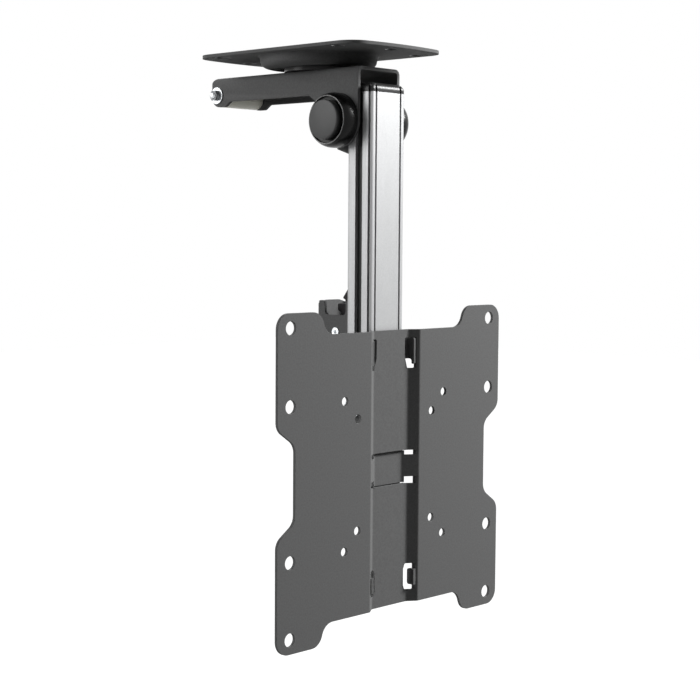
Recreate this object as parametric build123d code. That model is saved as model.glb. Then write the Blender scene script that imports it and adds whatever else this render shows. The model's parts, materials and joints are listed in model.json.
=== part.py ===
from build123d import *
from math import atan, radians, sqrt, tan
import os

# Fold-up ceiling mount for a small television.
#
# A plate screwed to the ceiling carries a swivelling steel arm. A column hangs from the arm's
# front end on a cross bolt under two round covers and folds up under the arm. The screen's
# plate hangs on a bracket that tilts at the column's lower end.
#
# Millimetres. X runs along the fold axis, Y from the screen to the back, Z up.
# The origin is on the swivel axis, at the top face of the ceiling plate.

# Clearances
RUNNING_FIT = 0.05
FACE_GAP = 0.1
LOOSE_GAP = 0.3

# Ceiling plate: pressed sheet with bowed ends and a round dome
PLATE_WIDTH = 94.0
PLATE_LENGTH = 162.0
PLATE_SHEET = 2.2
END_BOW = 5.0
PLATE_CORNER = 15.0
DOME_RADIUS = 41.5
DOME_DEPTH = 8.3
DOME_DRAFT = 8.0
DOME_ROOT_BEND = 2.0
DOME_FLOOR_BEND = 3.2
CEILING_HOLE = 9.0
CEILING_SLOT_WIDTH = 7.0
CEILING_SLOT_LENGTH = 14.0
END_HOLE_Y = 69.0
CORNER_HOLE_X = 39.0
CORNER_HOLE_Y = 56.5

# Swivel: bolt through the dome, a plastic disc under it
SWIVEL_BOLT = 10.0
SWIVEL_HEAD = 6.4
SWIVEL_HEX = 16.0
SWIVEL_NUT = 8.4
SWIVEL_WASHER = 22.0
SWIVEL_WASHER_SHEET = 1.5
DISC_DIAMETER = 48.0
DISC_HEIGHT = 3.0
STUD_END = 1.6
HEX_TURNED = 0.96

# Arm: channel folded from one sheet, open below
ARM_SHEET = 2.4
ARM_REACH = 88.3
ARM_SIDE = 17.5
ARM_BEND = 1.8
ARM_BACK_ROUND = 4.5
ARM_LOBE = 18.1
ARM_NECK_Y = -11.2
ARM_NECK_SLOPE = 34.0
CATCH_LOBE_DROP = 3.5
CATCH_LOBE_LENGTH = 13.9
CATCH_LOBE_SLOPE = 5.3
CATCH_LOBE_ROUND = 7.5

# Catch bolt across the arm's far end, with its roller
CATCH_BOLT = 4.0
CATCH_FROM_END = 5.8
CATCH_BELOW_TOP = 12.7
CATCH_HEX = 7.0
CATCH_HEAD = 2.8
CATCH_NUT = 3.2
CATCH_WASHER = 12.0
CATCH_WASHER_SHEET = 1.2
CATCH_STUD_END = 2.0
ROLLER_DIAMETER = 16.0

# Fold hinge: cross bolt, round covers and caps
HINGE_BOLT = 8.0
HINGE_DROP = 35.85
HINGE_BEHIND_COLUMN = 4.9
HINGE_HEX = 13.0
HINGE_HEAD = 5.3
HINGE_NUT = 6.5
HINGE_WASHER = 22.0
HINGE_WASHER_SHEET = 1.6
COVER_RADIUS = 18.6
COVER_RIM_RADIUS = 16.5
COVER_HEIGHT = 11.9
COVER_WALL = 2.6
COVER_FLOOR = 1.2
COVER_RECESS = 2.0
COVER_RIM_WALL = 0.9
COVER_SHOULDER = 4.0
CAP_RADIUS = 13.3
CAP_PROUD = 3.2
CAP_CROWN = 0.8
CAP_LIP = 1.0
CAP_SKIRT = 3.2
CAP_WALL = 1.6
FRICTION_WASHER = 23.0
FRICTION_SHEET = 1.2
BARREL_RADIUS = 11.5
BARREL_STANDOFF = 0.1
FOOT_INSET = 2.8
FOOT_DROP = 22.7
FOOT_BACK_DROP = 18.9
FOOT_DEPTH = 11.8
HEAD_RISE = 15.0
KNUCKLE_SCREW_INSET = 6.2
KNUCKLE_SCREW_LOW = 17.0
KNUCKLE_SCREW_HIGH = 11.4
KNUCKLE_SCREW = 5.0
KNUCKLE_SEAT = 3.5

# Screen plate: one sheet with a sunk middle, and the plate's place in this frame
SCREEN_PLATE_Y = -75.5
SCREEN_CENTRE_Z = -285.5
SCREEN_SHEET = 2.0
LARGE_PATTERN = 200.0
MIDDLE_PATTERN = 100.0
SMALL_PATTERN = 75.0
SCREEN_SIDE_MARGIN = 11.5
SCREEN_END_MARGIN = 9.5
SCREEN_CORNER = 10.0
WAIST_DEPTH = 17.5
WAIST_HALF_HEIGHT = 29.3
NOTCH_DEPTH = 14.8
NOTCH_HALF_WIDTH = 68.2
NOTCH_SLOPE = 4.1
CORNER_FLAT = 0.15
SUNK_DEPTH = 5.0
SUNK_HALF_WIDTH = 17.3
FOLD_HALF_WIDTH = 24.5
STRAP_HALF_WIDTH = 13.5
STRAP_HALF_HEIGHT = 11.0
STRAP_NECK_LOW = -7.1
STRAP_NECK_HIGH = 8.0
STRAP_WINDOW_LOW = -12.0
STRAP_WINDOW_HIGH = 11.3
STRAP_WINDOW_X = 15.5
SHEAR_GAP = 0.55
WINDOW_OUTER_X = 22.4
TOP_SLOT_LOW = 68.0
TOP_SLOT_INNER_X = 14.3
LOW_WINDOW_TOP = -68.0
LOW_WINDOW_BOTTOM = -86.5
LOW_WINDOW_INNER_X = 14.6
LOW_TAB_TOP = -72.0
LOW_TAB_BOTTOM = -83.0
LOW_TAB_BACK = 6.6
LARGE_HOLE = 9.0
SMALL_HOLE = 6.0

# Tilt bracket behind the screen plate
BRACKET_SHEET = 2.0
SPINE_HALF_WIDTH = 15.0
SPINE_HALF_HEIGHT = 92.0
CHEEK_LOW = 16.0
CHEEK_HIGH = 65.0
CHEEK_EYE = 6.5
CHEEK_BACK_STRIP = 3.0
EAR_HIGH = 89.0
HOOK_LOW = 74.4
HOOK_TIP_LOW = 70.9
HOOK_TIP = 2.2
HOOK_REACH = 5.2
TILT_PIVOT_Z = 42.0
TILT_BOLT = 6.0
TILT_HEX = 10.0
TILT_HEAD = 4.0
TILT_NUT = 5.0
TILT_WASHER = 12.5
TILT_WASHER_SHEET = 1.2
TILT_DISC = 13.0

# Column: hollow extrusion with a slot in each side and fine grooves
COLUMN_WIDTH = 34.0
COLUMN_DEPTH = 22.1
COLUMN_CORNER = 2.5
COLUMN_WALL = 2.2
COLUMN_ABOVE_HINGE = 18.55
COLUMN_BELOW_PIVOT = 5.0
FRONT_GROOVE_INSET = 4.9
GROOVE_WIDTH = 1.6
GROOVE_DEPTH = 1.4
SIDE_GROOVE_Y = 1.95
SLOT_Y = 11.1
SLOT_WIDTH = 6.3
SLOT_DEPTH = 3.5
STRIP_THICKNESS = 0.8
STRIP_ENDS = 22.0
TOP_CAP_HEIGHT = 6.3
TOP_CAP_ROUND = 4.5
BOTTOM_CAP_HEIGHT = 2.0
TOP_SPIGOT = 4.0
BOTTOM_SPIGOT = 9.0

# Rear bracket and hook lever
REAR_SHEET = 2.0
REAR_INSET = 2.5
REAR_DEPTH = 30.3
REAR_TOP = 113.8
REAR_HEIGHT = 40.3
REAR_CORNER = 4.0
REAR_TONGUE = 9.0
MOUTH_FRONT = 2.8
MOUTH_WIDTH = 20.0
MOUTH_DEPTH = 9.8
MOUTH_ROUND = 3.0
BACK_DIP = 2.4
BACK_FLAT_HALF_WIDTH = 6.0
REAR_SCREW_INSET = 5.9
REAR_SCREW_SPACING = 27.0
REAR_SCREW_LOW = 5.5
REAR_SCREW = 4.0
DRIVER_HOLE = 9.0
SCREW_HEAD_SHARE = 1.75
SCREW_HEAD_RISE = 0.5
SCREW_REACH = 1.5
LEVER_PIVOT_BACK = 12.1
LEVER_PIVOT_Z = 92.3
LEVER_PIN = 5.0
PIN_HEAD = 6.2
PIN_HEAD_HEIGHT = 0.7
PIN_DIMPLE = 2.4
LEVER_THICKNESS = 5.0
LEVER_HUB = 6.0
NOSE_FRONT = 7.0
NOSE_FRONT_TOP = 117.5
NOSE_TIP = 122.6
NOSE_TIP_BACK = 11.4
BARB_BACK = 16.9
BARB_TIP = 115.4
BARB_DEPTH = 1.7
BARB_ROOT_BACK = 13.9
SHOULDER_TOP = 111.4
SHOULDER_LOW = 106.8
SHOULDER_BACK = 21.6
NECK_BACK = 16.0
TAIL_FRONT = 7.8
TAIL_WIDTH = 8.0
TAIL_KICK = 5.6
TAIL_BEND = 70.0
TAIL_END = 54.0
TAIL_ROUND = 12.0
SPACER_WALL = 0.8
SPRING_WIRE = 1.2
SPRING_TURNS = 4.25
SPRING_LEG = 9.0
STUD_RADIUS = 1.0
STUD_RISE = 7.0

# Places that follow from the sizes above
ARM_TOP_Z = -PLATE_SHEET - DOME_DEPTH - DISC_HEIGHT
COLUMN_SIDE = COLUMN_WIDTH / 2
ARM_INNER = COLUMN_SIDE + BARREL_STANDOFF + FRICTION_SHEET + FACE_GAP
ARM_OUTER = ARM_INNER + ARM_SHEET
ARM_EDGE_Z = ARM_TOP_Z - ARM_SIDE
ARM_WEB_Z = ARM_TOP_Z - ARM_SHEET
STRIP_BACK_Y = SCREEN_PLATE_Y + SUNK_DEPTH + SCREEN_SHEET
COLUMN_FRONT_Y = STRIP_BACK_Y + BRACKET_SHEET + RUNNING_FIT
COLUMN_BACK_Y = COLUMN_FRONT_Y + COLUMN_DEPTH
HINGE_Y = COLUMN_BACK_Y + HINGE_BEHIND_COLUMN
HINGE_Z = ARM_TOP_Z - HINGE_DROP
ARM_FRONT_Y = HINGE_Y - ARM_LOBE
CATCH_Y = ARM_REACH - CATCH_FROM_END
CATCH_Z = ARM_TOP_Z - CATCH_BELOW_TOP
COLUMN_TOP_Z = HINGE_Z + COLUMN_ABOVE_HINGE
PIVOT_Y = COLUMN_FRONT_Y + SLOT_Y
PIVOT_Z = SCREEN_CENTRE_Z + TILT_PIVOT_Z
COLUMN_END_Z = PIVOT_Z - COLUMN_BELOW_PIVOT
CHEEK_INNER = COLUMN_SIDE + FACE_GAP + TILT_WASHER_SHEET + FACE_GAP
CHEEK_OUTER = CHEEK_INNER + BRACKET_SHEET
LEVER_Y = COLUMN_BACK_Y + LEVER_PIVOT_BACK
LEVER_Z = SCREEN_CENTRE_Z + LEVER_PIVOT_Z
REAR_TOP_Z = SCREEN_CENTRE_Z + REAR_TOP
REAR_BOTTOM_Z = REAR_TOP_Z - REAR_HEIGHT
REAR_BACK_Y = COLUMN_BACK_Y + REAR_DEPTH
REAR_SIDE = COLUMN_SIDE - REAR_INSET
FOOT_SIDE = COLUMN_SIDE - FOOT_INSET
SCREEN_HALF_WIDTH = LARGE_PATTERN / 2 + SCREEN_SIDE_MARGIN
SCREEN_HALF_HEIGHT = LARGE_PATTERN / 2 + SCREEN_END_MARGIN
WAIST_ROUND = WAIST_DEPTH / 2 - CORNER_FLAT
NOTCH_TURN = atan(NOTCH_DEPTH / NOTCH_SLOPE)
NOTCH_ROUND = (sqrt(NOTCH_DEPTH ** 2 + NOTCH_SLOPE ** 2) / 2 - CORNER_FLAT) / tan(NOTCH_TURN / 2)
HOOK_OUTER_X = WINDOW_OUTER_X - LOOSE_GAP


def block(x, y, z):
    """Box between two ends along each axis."""
    centre = Pos((x[0] + x[1]) / 2, (y[0] + y[1]) / 2, (z[0] + z[1]) / 2)
    return centre * Box(x[1] - x[0], y[1] - y[0], z[1] - z[0])


def rod_x(radius, x, y, z):
    """Cylinder along X between two ends."""
    return Pos((x[0] + x[1]) / 2, y, z) * Rot(0, 90, 0) * Cylinder(radius, x[1] - x[0])


def rod_y(radius, x, y, z):
    """Cylinder along Y between two ends."""
    return Pos(x, (y[0] + y[1]) / 2, z) * Rot(90, 0, 0) * Cylinder(radius, y[1] - y[0])


def rod_z(radius, x, y, z):
    """Cylinder along Z between two ends."""
    return Pos(x, y, (z[0] + z[1]) / 2) * Cylinder(radius, z[1] - z[0])


def tube_x(outer, inner, x, y, z):
    """Ring or sleeve along X."""
    return rod_x(outer, x, y, z) - rod_x(inner, x, y, z)


def hex_x(across, x, y, z):
    """Hexagonal prism along X with its outer edges turned off."""
    prism = Pos(x[0], y, z) * Rot(0, 90, 0) * extrude(RegularPolygon(across / sqrt(3), 6), x[1] - x[0])
    return prism & rod_x(across / sqrt(3) * HEX_TURNED, x, y, z)


def hex_z(across, z):
    """Hexagonal prism on the swivel axis with its outer edges turned off."""
    prism = Pos(0, 0, z[0]) * extrude(RegularPolygon(across / sqrt(3), 6), z[1] - z[0])
    return prism & rod_z(across / sqrt(3) * HEX_TURNED, 0, 0, z)


def rounded_face(corners):
    """Face from corners (u, v, radius), each rounded by its own radius."""
    face = make_face(Polyline([(u, v) for u, v, r in corners], close=True))
    for u, v, r in corners:
        if r > 0:
            corner = face.vertices().sort_by_distance((u, v, 0))[0]
            face = fillet(corner, r)
    return face


def side_plate(corners, x):
    """Flat piece seen from the side: corners (y, z, radius), between two X ends."""
    face = Plane.YZ * rounded_face(corners)
    return Pos(x[0], 0, 0) * extrude(face, x[1] - x[0], dir=(1, 0, 0))


def front_plate(corners, y):
    """Flat piece seen from the front: corners (x, z, radius), between two Y ends."""
    face = Plane.XZ * rounded_face(corners)
    return Pos(0, y[0], 0) * extrude(face, y[1] - y[0], dir=(0, 1, 0))


def both_sides(solid):
    """The solid and its mirror image across the middle plane."""
    return [solid, mirror(solid, about=Plane.YZ)]


def ceiling_plate():
    half_width = PLATE_WIDTH / 2
    half_length = PLATE_LENGTH / 2
    side_end = half_length - END_BOW
    outline = make_face(
        Polyline((-half_width, side_end), (-half_width, -side_end))
        + ThreePointArc((-half_width, -side_end), (0, -half_length), (half_width, -side_end))
        + Polyline((half_width, -side_end), (half_width, side_end))
        + ThreePointArc((half_width, side_end), (0, half_length), (-half_width, side_end))
    )
    outline = fillet(outline.vertices(), PLATE_CORNER)
    sheet = Pos(0, 0, -PLATE_SHEET) * extrude(outline, PLATE_SHEET)

    # The dome's section, from its flat floor out to the plate
    draft = DOME_DEPTH * tan(radians(DOME_DRAFT))
    side_shift = PLATE_SHEET * tan(radians((90 - DOME_DRAFT) / 2))
    rim = DOME_RADIUS + DOME_ROOT_BEND + 0.5
    bore = SWIVEL_BOLT / 2 + RUNNING_FIT
    top_root = DOME_RADIUS - side_shift
    section = rounded_face([
        (bore, -DOME_DEPTH, 0),
        (top_root - draft, -DOME_DEPTH, DOME_FLOOR_BEND),
        (top_root, 0, DOME_ROOT_BEND + PLATE_SHEET),
        (rim, 0, 0),
        (rim, -PLATE_SHEET, 0),
        (DOME_RADIUS, -PLATE_SHEET, DOME_ROOT_BEND),
        (DOME_RADIUS - draft, -PLATE_SHEET - DOME_DEPTH, DOME_FLOOR_BEND + PLATE_SHEET),
        (bore, -PLATE_SHEET - DOME_DEPTH, 0),
    ])
    dome = revolve(Plane.XZ * section, Axis.Z)
    plate = sheet - rod_z(rim, 0, 0, (-PLATE_SHEET, 0)) + dome

    through = (-PLATE_SHEET, 0)
    plate -= rod_z(CEILING_HOLE / 2, 0, -END_HOLE_Y, through)
    slot = extrude(SlotOverall(CEILING_SLOT_LENGTH, CEILING_SLOT_WIDTH, 90), -PLATE_SHEET)
    plate -= Pos(0, END_HOLE_Y, 0) * slot
    for side in (-1, 1):
        plate -= rod_z(CEILING_HOLE / 2, side * CORNER_HOLE_X, -CORNER_HOLE_Y, through)
        plate -= Pos(side * CORNER_HOLE_X, CORNER_HOLE_Y, 0) * slot
    return plate


def swivel_pieces():
    radius = SWIVEL_BOLT / 2
    floor_z = -DOME_DEPTH
    washer_top = floor_z + SWIVEL_WASHER_SHEET
    nut_washer_top = ARM_WEB_Z - FACE_GAP
    nut_top = nut_washer_top - SWIVEL_WASHER_SHEET
    nut_bottom = nut_top - SWIVEL_NUT
    washer_bore = radius + RUNNING_FIT
    bolt = rod_z(radius, 0, 0, (nut_bottom - STUD_END, washer_top))
    bolt += hex_z(SWIVEL_HEX, (washer_top, washer_top + SWIVEL_HEAD))
    head_washer = rod_z(SWIVEL_WASHER / 2, 0, 0, (floor_z, washer_top))
    head_washer -= rod_z(washer_bore, 0, 0, (floor_z, washer_top))
    nut_washer = rod_z(SWIVEL_WASHER / 2, 0, 0, (nut_top, nut_washer_top))
    nut_washer -= rod_z(washer_bore, 0, 0, (nut_top, nut_washer_top))
    nut = hex_z(SWIVEL_HEX, (nut_bottom, nut_top)) - rod_z(radius, 0, 0, (nut_bottom, nut_top))
    disc_z = (ARM_TOP_Z, ARM_TOP_Z + DISC_HEIGHT - FACE_GAP)
    disc = rod_z(DISC_DIAMETER / 2, 0, 0, disc_z) - rod_z(washer_bore, 0, 0, disc_z)
    return {
        "swivel_bolt": bolt,
        "swivel_head_washer": head_washer,
        "swivel_nut_washer": nut_washer,
        "swivel_nut": nut,
        "swivel_disc": disc,
    }


def top_arm():
    lobe_bottom = ARM_EDGE_Z - CATCH_LOBE_DROP
    lobe_inner_y = ARM_REACH - CATCH_LOBE_LENGTH
    neck_back_y = HINGE_Y + ARM_LOBE
    neck_z = ARM_EDGE_Z - (ARM_NECK_Y - neck_back_y) * tan(radians(ARM_NECK_SLOPE))
    profile = rounded_face([
        (ARM_FRONT_Y, ARM_TOP_Z, 0),
        (ARM_REACH, ARM_TOP_Z, ARM_BACK_ROUND),
        (ARM_REACH, lobe_bottom, CATCH_LOBE_ROUND),
        (lobe_inner_y, lobe_bottom, 3.0),
        (lobe_inner_y - CATCH_LOBE_SLOPE, ARM_EDGE_Z, 1.5),
        (ARM_NECK_Y, ARM_EDGE_Z, 2.0),
        (neck_back_y, neck_z, 4.0),
        (neck_back_y, HINGE_Z, 0),
        (ARM_FRONT_Y, HINGE_Z, 0),
    ])
    profile += Pos(HINGE_Y, HINGE_Z) * Circle(ARM_LOBE)
    arm = extrude(Plane.YZ * profile, ARM_OUTER, both=True, dir=(1, 0, 0))
    long_top_edges = arm.edges().filter_by(Axis.Y).group_by(Axis.Z)[-1]
    arm = fillet(long_top_edges, ARM_SHEET + ARM_BEND)
    inside = block(
        (-ARM_INNER, ARM_INNER),
        (ARM_FRONT_Y - 1, ARM_REACH + 1),
        (HINGE_Z - 2 * ARM_LOBE, ARM_WEB_Z),
    )
    inside = fillet(inside.edges().filter_by(Axis.Y).group_by(Axis.Z)[-1], ARM_BEND)
    arm -= inside
    arm -= rod_z(SWIVEL_BOLT / 2 + RUNNING_FIT, 0, 0, (ARM_WEB_Z, ARM_TOP_Z))
    across = (-ARM_OUTER, ARM_OUTER)
    arm -= rod_x(HINGE_BOLT / 2 + RUNNING_FIT, across, HINGE_Y, HINGE_Z)
    arm -= rod_x(CATCH_BOLT / 2 + RUNNING_FIT, across, CATCH_Y, CATCH_Z)
    return arm


def catch_pieces():
    radius = CATCH_BOLT / 2
    wall = ARM_OUTER
    washer_end = wall + CATCH_WASHER_SHEET
    nut_end = washer_end + CATCH_NUT
    place = (CATCH_Y, CATCH_Z)
    bolt = rod_x(radius, (-nut_end - CATCH_STUD_END, washer_end), *place)
    bolt += hex_x(CATCH_HEX, (washer_end, washer_end + CATCH_HEAD), *place)
    washer = tube_x(CATCH_WASHER / 2, radius + RUNNING_FIT, (wall, washer_end), *place)
    nut = hex_x(CATCH_HEX, (-nut_end, -washer_end), *place)
    nut -= rod_x(radius, (-nut_end, -washer_end), *place)
    roller_x = ARM_INNER - FACE_GAP
    roller = tube_x(ROLLER_DIAMETER / 2, radius + FACE_GAP, (-roller_x, roller_x), *place)
    roller = chamfer(roller.edges().filter_by(GeomType.CIRCLE).group_by(SortBy.RADIUS)[-1], 0.5)
    return {
        "catch_bolt": bolt,
        "catch_washers": both_sides(washer),
        "catch_nut": nut,
        "catch_roller": roller,
    }


def hinge_pieces():
    radius = HINGE_BOLT / 2
    wall = ARM_OUTER
    place = (HINGE_Y, HINGE_Z)
    floor_end = wall + COVER_FLOOR
    washer_end = floor_end + HINGE_WASHER_SHEET
    nut_end = washer_end + HINGE_NUT
    bore = radius + RUNNING_FIT
    bolt = rod_x(radius, (-washer_end, nut_end + FACE_GAP), *place)
    bolt += hex_x(HINGE_HEX, (-washer_end - HINGE_HEAD, -washer_end), *place)
    nut = hex_x(HINGE_HEX, (washer_end, nut_end), *place)
    nut -= rod_x(radius, (washer_end, nut_end), *place)
    washer = tube_x(HINGE_WASHER / 2, bore, (floor_end, washer_end), *place)

    # Round cover: a drum that curves in to its rim, with a recess round the cap
    rim_x = wall + COVER_HEIGHT
    shelf_x = rim_x - COVER_RECESS
    recess_radius = COVER_RIM_RADIUS - COVER_RIM_WALL
    cap_bore = CAP_RADIUS - CAP_LIP
    shoulder_x = wall + COVER_SHOULDER
    outer_curve = Spline(
        (shoulder_x, COVER_RADIUS),
        (rim_x - 0.5, COVER_RIM_RADIUS),
        tangents=((1, -0.02), (0.6, -1)),
    )
    cover_face = make_face(
        Polyline(
            (rim_x - 0.5, COVER_RIM_RADIUS),
            (rim_x, COVER_RIM_RADIUS - 0.3),
            (rim_x, recess_radius),
            (shelf_x, recess_radius),
            (shelf_x, cap_bore),
            (shelf_x - CAP_SKIRT, cap_bore),
            (floor_end, COVER_RADIUS - COVER_WALL),
            (floor_end, bore),
            (wall, bore),
            (wall, COVER_RADIUS),
            (shoulder_x, COVER_RADIUS),
        )
        + outer_curve
    )
    cover = Pos(0, *place) * revolve(cover_face, Axis.X)

    # Cap: shallow dome standing out of the recess, its skirt pressed into the cover
    skirt_outer = cap_bore - RUNNING_FIT
    skirt_inner = skirt_outer - CAP_WALL
    skirt_end = shelf_x - CAP_SKIRT + LOOSE_GAP
    edge_x = rim_x + CAP_PROUD
    crown_radius = (CAP_RADIUS ** 2 + CAP_CROWN ** 2) / (2 * CAP_CROWN)
    halfway = sqrt(crown_radius ** 2 - (CAP_RADIUS / 2) ** 2)
    crown = ThreePointArc(
        (edge_x, CAP_RADIUS),
        (edge_x + CAP_CROWN - crown_radius + halfway, CAP_RADIUS / 2),
        (edge_x + CAP_CROWN, 0),
    )
    cap_face = make_face(
        Polyline(
            (edge_x + CAP_CROWN, 0),
            (edge_x - CAP_WALL, 0),
            (edge_x - CAP_WALL, skirt_inner),
            (skirt_end, skirt_inner),
            (skirt_end, skirt_outer),
            (shelf_x, skirt_outer),
            (shelf_x, CAP_RADIUS),
            (edge_x, CAP_RADIUS),
        )
        + crown
    )
    cap = Pos(0, *place) * revolve(cap_face, Axis.X)
    disc = tube_x(
        FRICTION_WASHER / 2,
        bore,
        (COLUMN_SIDE + BARREL_STANDOFF, ARM_INNER - FACE_GAP),
        *place,
    )
    right_cover, left_cover = both_sides(cover)
    right_cap, left_cap = both_sides(cap)
    right_disc, left_disc = both_sides(disc)
    return {
        "hinge_bolt": bolt,
        "hinge_nut": nut,
        "hinge_washers": both_sides(washer),
        "hinge_cover_right": right_cover,
        "hinge_cover_left": left_cover,
        "hinge_cap_right": right_cap,
        "hinge_cap_left": left_cap,
        "friction_disc_right": right_disc,
        "friction_disc_left": left_disc,
    }


def column_outline(height, bottom_z, rounding=0.0):
    """Block with the column's outer corners, its top edges rounded if wanted."""
    shape = block(
        (-COLUMN_SIDE, COLUMN_SIDE),
        (COLUMN_FRONT_Y, COLUMN_BACK_Y),
        (bottom_z, bottom_z + height),
    )
    shape = fillet(shape.edges().filter_by(Axis.Z), COLUMN_CORNER)
    if rounding > 0:
        shape = fillet(shape.edges().group_by(Axis.Z)[-1], rounding)
    return shape


def column_grooves(z):
    """Fine grooves of the column's front and sides, to be cut away."""
    cuts = []
    for side in (-1, 1):
        centre = side * (COLUMN_SIDE - FRONT_GROOVE_INSET)
        cuts.append(block(
            (centre - GROOVE_WIDTH / 2, centre + GROOVE_WIDTH / 2),
            (COLUMN_FRONT_Y - 1, COLUMN_FRONT_Y + GROOVE_DEPTH),
            z,
        ))
    groove_y = COLUMN_FRONT_Y + SIDE_GROOVE_Y
    groove = block(
        (COLUMN_SIDE - GROOVE_DEPTH, COLUMN_SIDE + 1),
        (groove_y - GROOVE_WIDTH / 2, groove_y + GROOVE_WIDTH / 2),
        z,
    )
    return cuts + both_sides(groove)


def side_slot(z, depth):
    """The wide slot of the column's right side, to be cut away."""
    return block(
        (COLUMN_SIDE - depth, COLUMN_SIDE + 1),
        (PIVOT_Y - SLOT_WIDTH / 2, PIVOT_Y + SLOT_WIDTH / 2),
        z,
    )


def column_hollow(z, gap=0.0):
    """The space inside the column, made smaller by a gap for what plugs into it."""
    front_wall = GROOVE_DEPTH + COLUMN_WALL
    space = block(
        (-COLUMN_SIDE + front_wall + gap, COLUMN_SIDE - front_wall - gap),
        (COLUMN_FRONT_Y + front_wall + gap, COLUMN_BACK_Y - COLUMN_WALL - gap),
        z,
    )
    keep = block(
        (COLUMN_SIDE - SLOT_DEPTH - COLUMN_WALL - gap, COLUMN_SIDE),
        (PIVOT_Y - SLOT_WIDTH / 2 - COLUMN_WALL - gap, PIVOT_Y + SLOT_WIDTH / 2 + COLUMN_WALL + gap),
        z,
    )
    for wall in both_sides(keep):
        space -= wall
    return space


def screw_places():
    """Places (x, z) of the screws in the column's back: the knuckle's, the bracket's."""
    knuckle = [
        (side * (FOOT_SIDE - KNUCKLE_SCREW_INSET), HINGE_Z + rise)
        for side in (-1, 1)
        for rise in (-KNUCKLE_SCREW_LOW, KNUCKLE_SCREW_HIGH)
    ]
    rear_low = REAR_BOTTOM_Z + REAR_SCREW_LOW
    rear = [
        (side * (REAR_SIDE - REAR_SCREW_INSET), rear_low + rise)
        for side in (-1, 1)
        for rise in (0, REAR_SCREW_SPACING)
    ]
    return knuckle, rear


def column_pieces():
    length = COLUMN_TOP_Z - COLUMN_END_Z
    z = (COLUMN_END_Z, COLUMN_TOP_Z)
    column = column_outline(length, COLUMN_END_Z)
    column -= column_grooves(z)
    column -= both_sides(side_slot(z, SLOT_DEPTH))
    column -= column_hollow(z)
    across = (-COLUMN_SIDE, COLUMN_SIDE)
    column -= rod_x(TILT_BOLT / 2 + RUNNING_FIT, across, PIVOT_Y, PIVOT_Z)
    back_wall = (COLUMN_BACK_Y - COLUMN_WALL, COLUMN_BACK_Y)
    knuckle_places, rear_places = screw_places()
    for x, screw_z in knuckle_places:
        column -= rod_y(KNUCKLE_SCREW / 2, x, back_wall, screw_z)
    for x, screw_z in rear_places:
        column -= rod_y(REAR_SCREW / 2, x, back_wall, screw_z)

    cap_top = COLUMN_TOP_Z + TOP_CAP_HEIGHT
    top_cap = column_outline(TOP_CAP_HEIGHT, COLUMN_TOP_Z, TOP_CAP_ROUND)
    top_cap -= column_grooves((COLUMN_TOP_Z, cap_top))
    top_cap += column_hollow((COLUMN_TOP_Z - TOP_SPIGOT, COLUMN_TOP_Z), FACE_GAP)

    bottom_cap = column_outline(BOTTOM_CAP_HEIGHT, COLUMN_END_Z - BOTTOM_CAP_HEIGHT)
    bottom_cap += column_hollow((COLUMN_END_Z, COLUMN_END_Z + BOTTOM_SPIGOT), FACE_GAP)
    bottom_cap -= rod_x(TILT_BOLT / 2 + LOOSE_GAP, across, PIVOT_Y, PIVOT_Z)

    slot_floor = COLUMN_SIDE - SLOT_DEPTH
    strip = block(
        (slot_floor, slot_floor + STRIP_THICKNESS),
        (PIVOT_Y - SLOT_WIDTH / 2 + FACE_GAP, PIVOT_Y + SLOT_WIDTH / 2 - FACE_GAP),
        (PIVOT_Z + STRIP_ENDS / 2, COLUMN_TOP_Z),
    )
    right_strip, left_strip = both_sides(strip)
    return {
        "column": column,
        "top_cap": top_cap,
        "bottom_cap": bottom_cap,
        "side_strip_right": right_strip,
        "side_strip_left": left_strip,
    }


def pan_screw(size, x, z, seat_y):
    """Screw from behind, its head on a seat and its end inside the column."""
    head_height = SCREW_HEAD_RISE * size
    end_y = COLUMN_BACK_Y - COLUMN_WALL - SCREW_REACH
    shank = rod_y(size / 2, x, (end_y, seat_y), z)
    head = rod_y(SCREW_HEAD_SHARE * size / 2, x, (seat_y, seat_y + head_height), z)
    head = fillet(head.edges().group_by(Axis.Y)[-1], head_height * 0.6)
    socket = Pos(x, seat_y + head_height, z) * Rot(90, 0, 0)
    socket *= extrude(RegularPolygon(size * 0.32, 6), head_height * 0.6)
    return shank + head - socket


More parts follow.
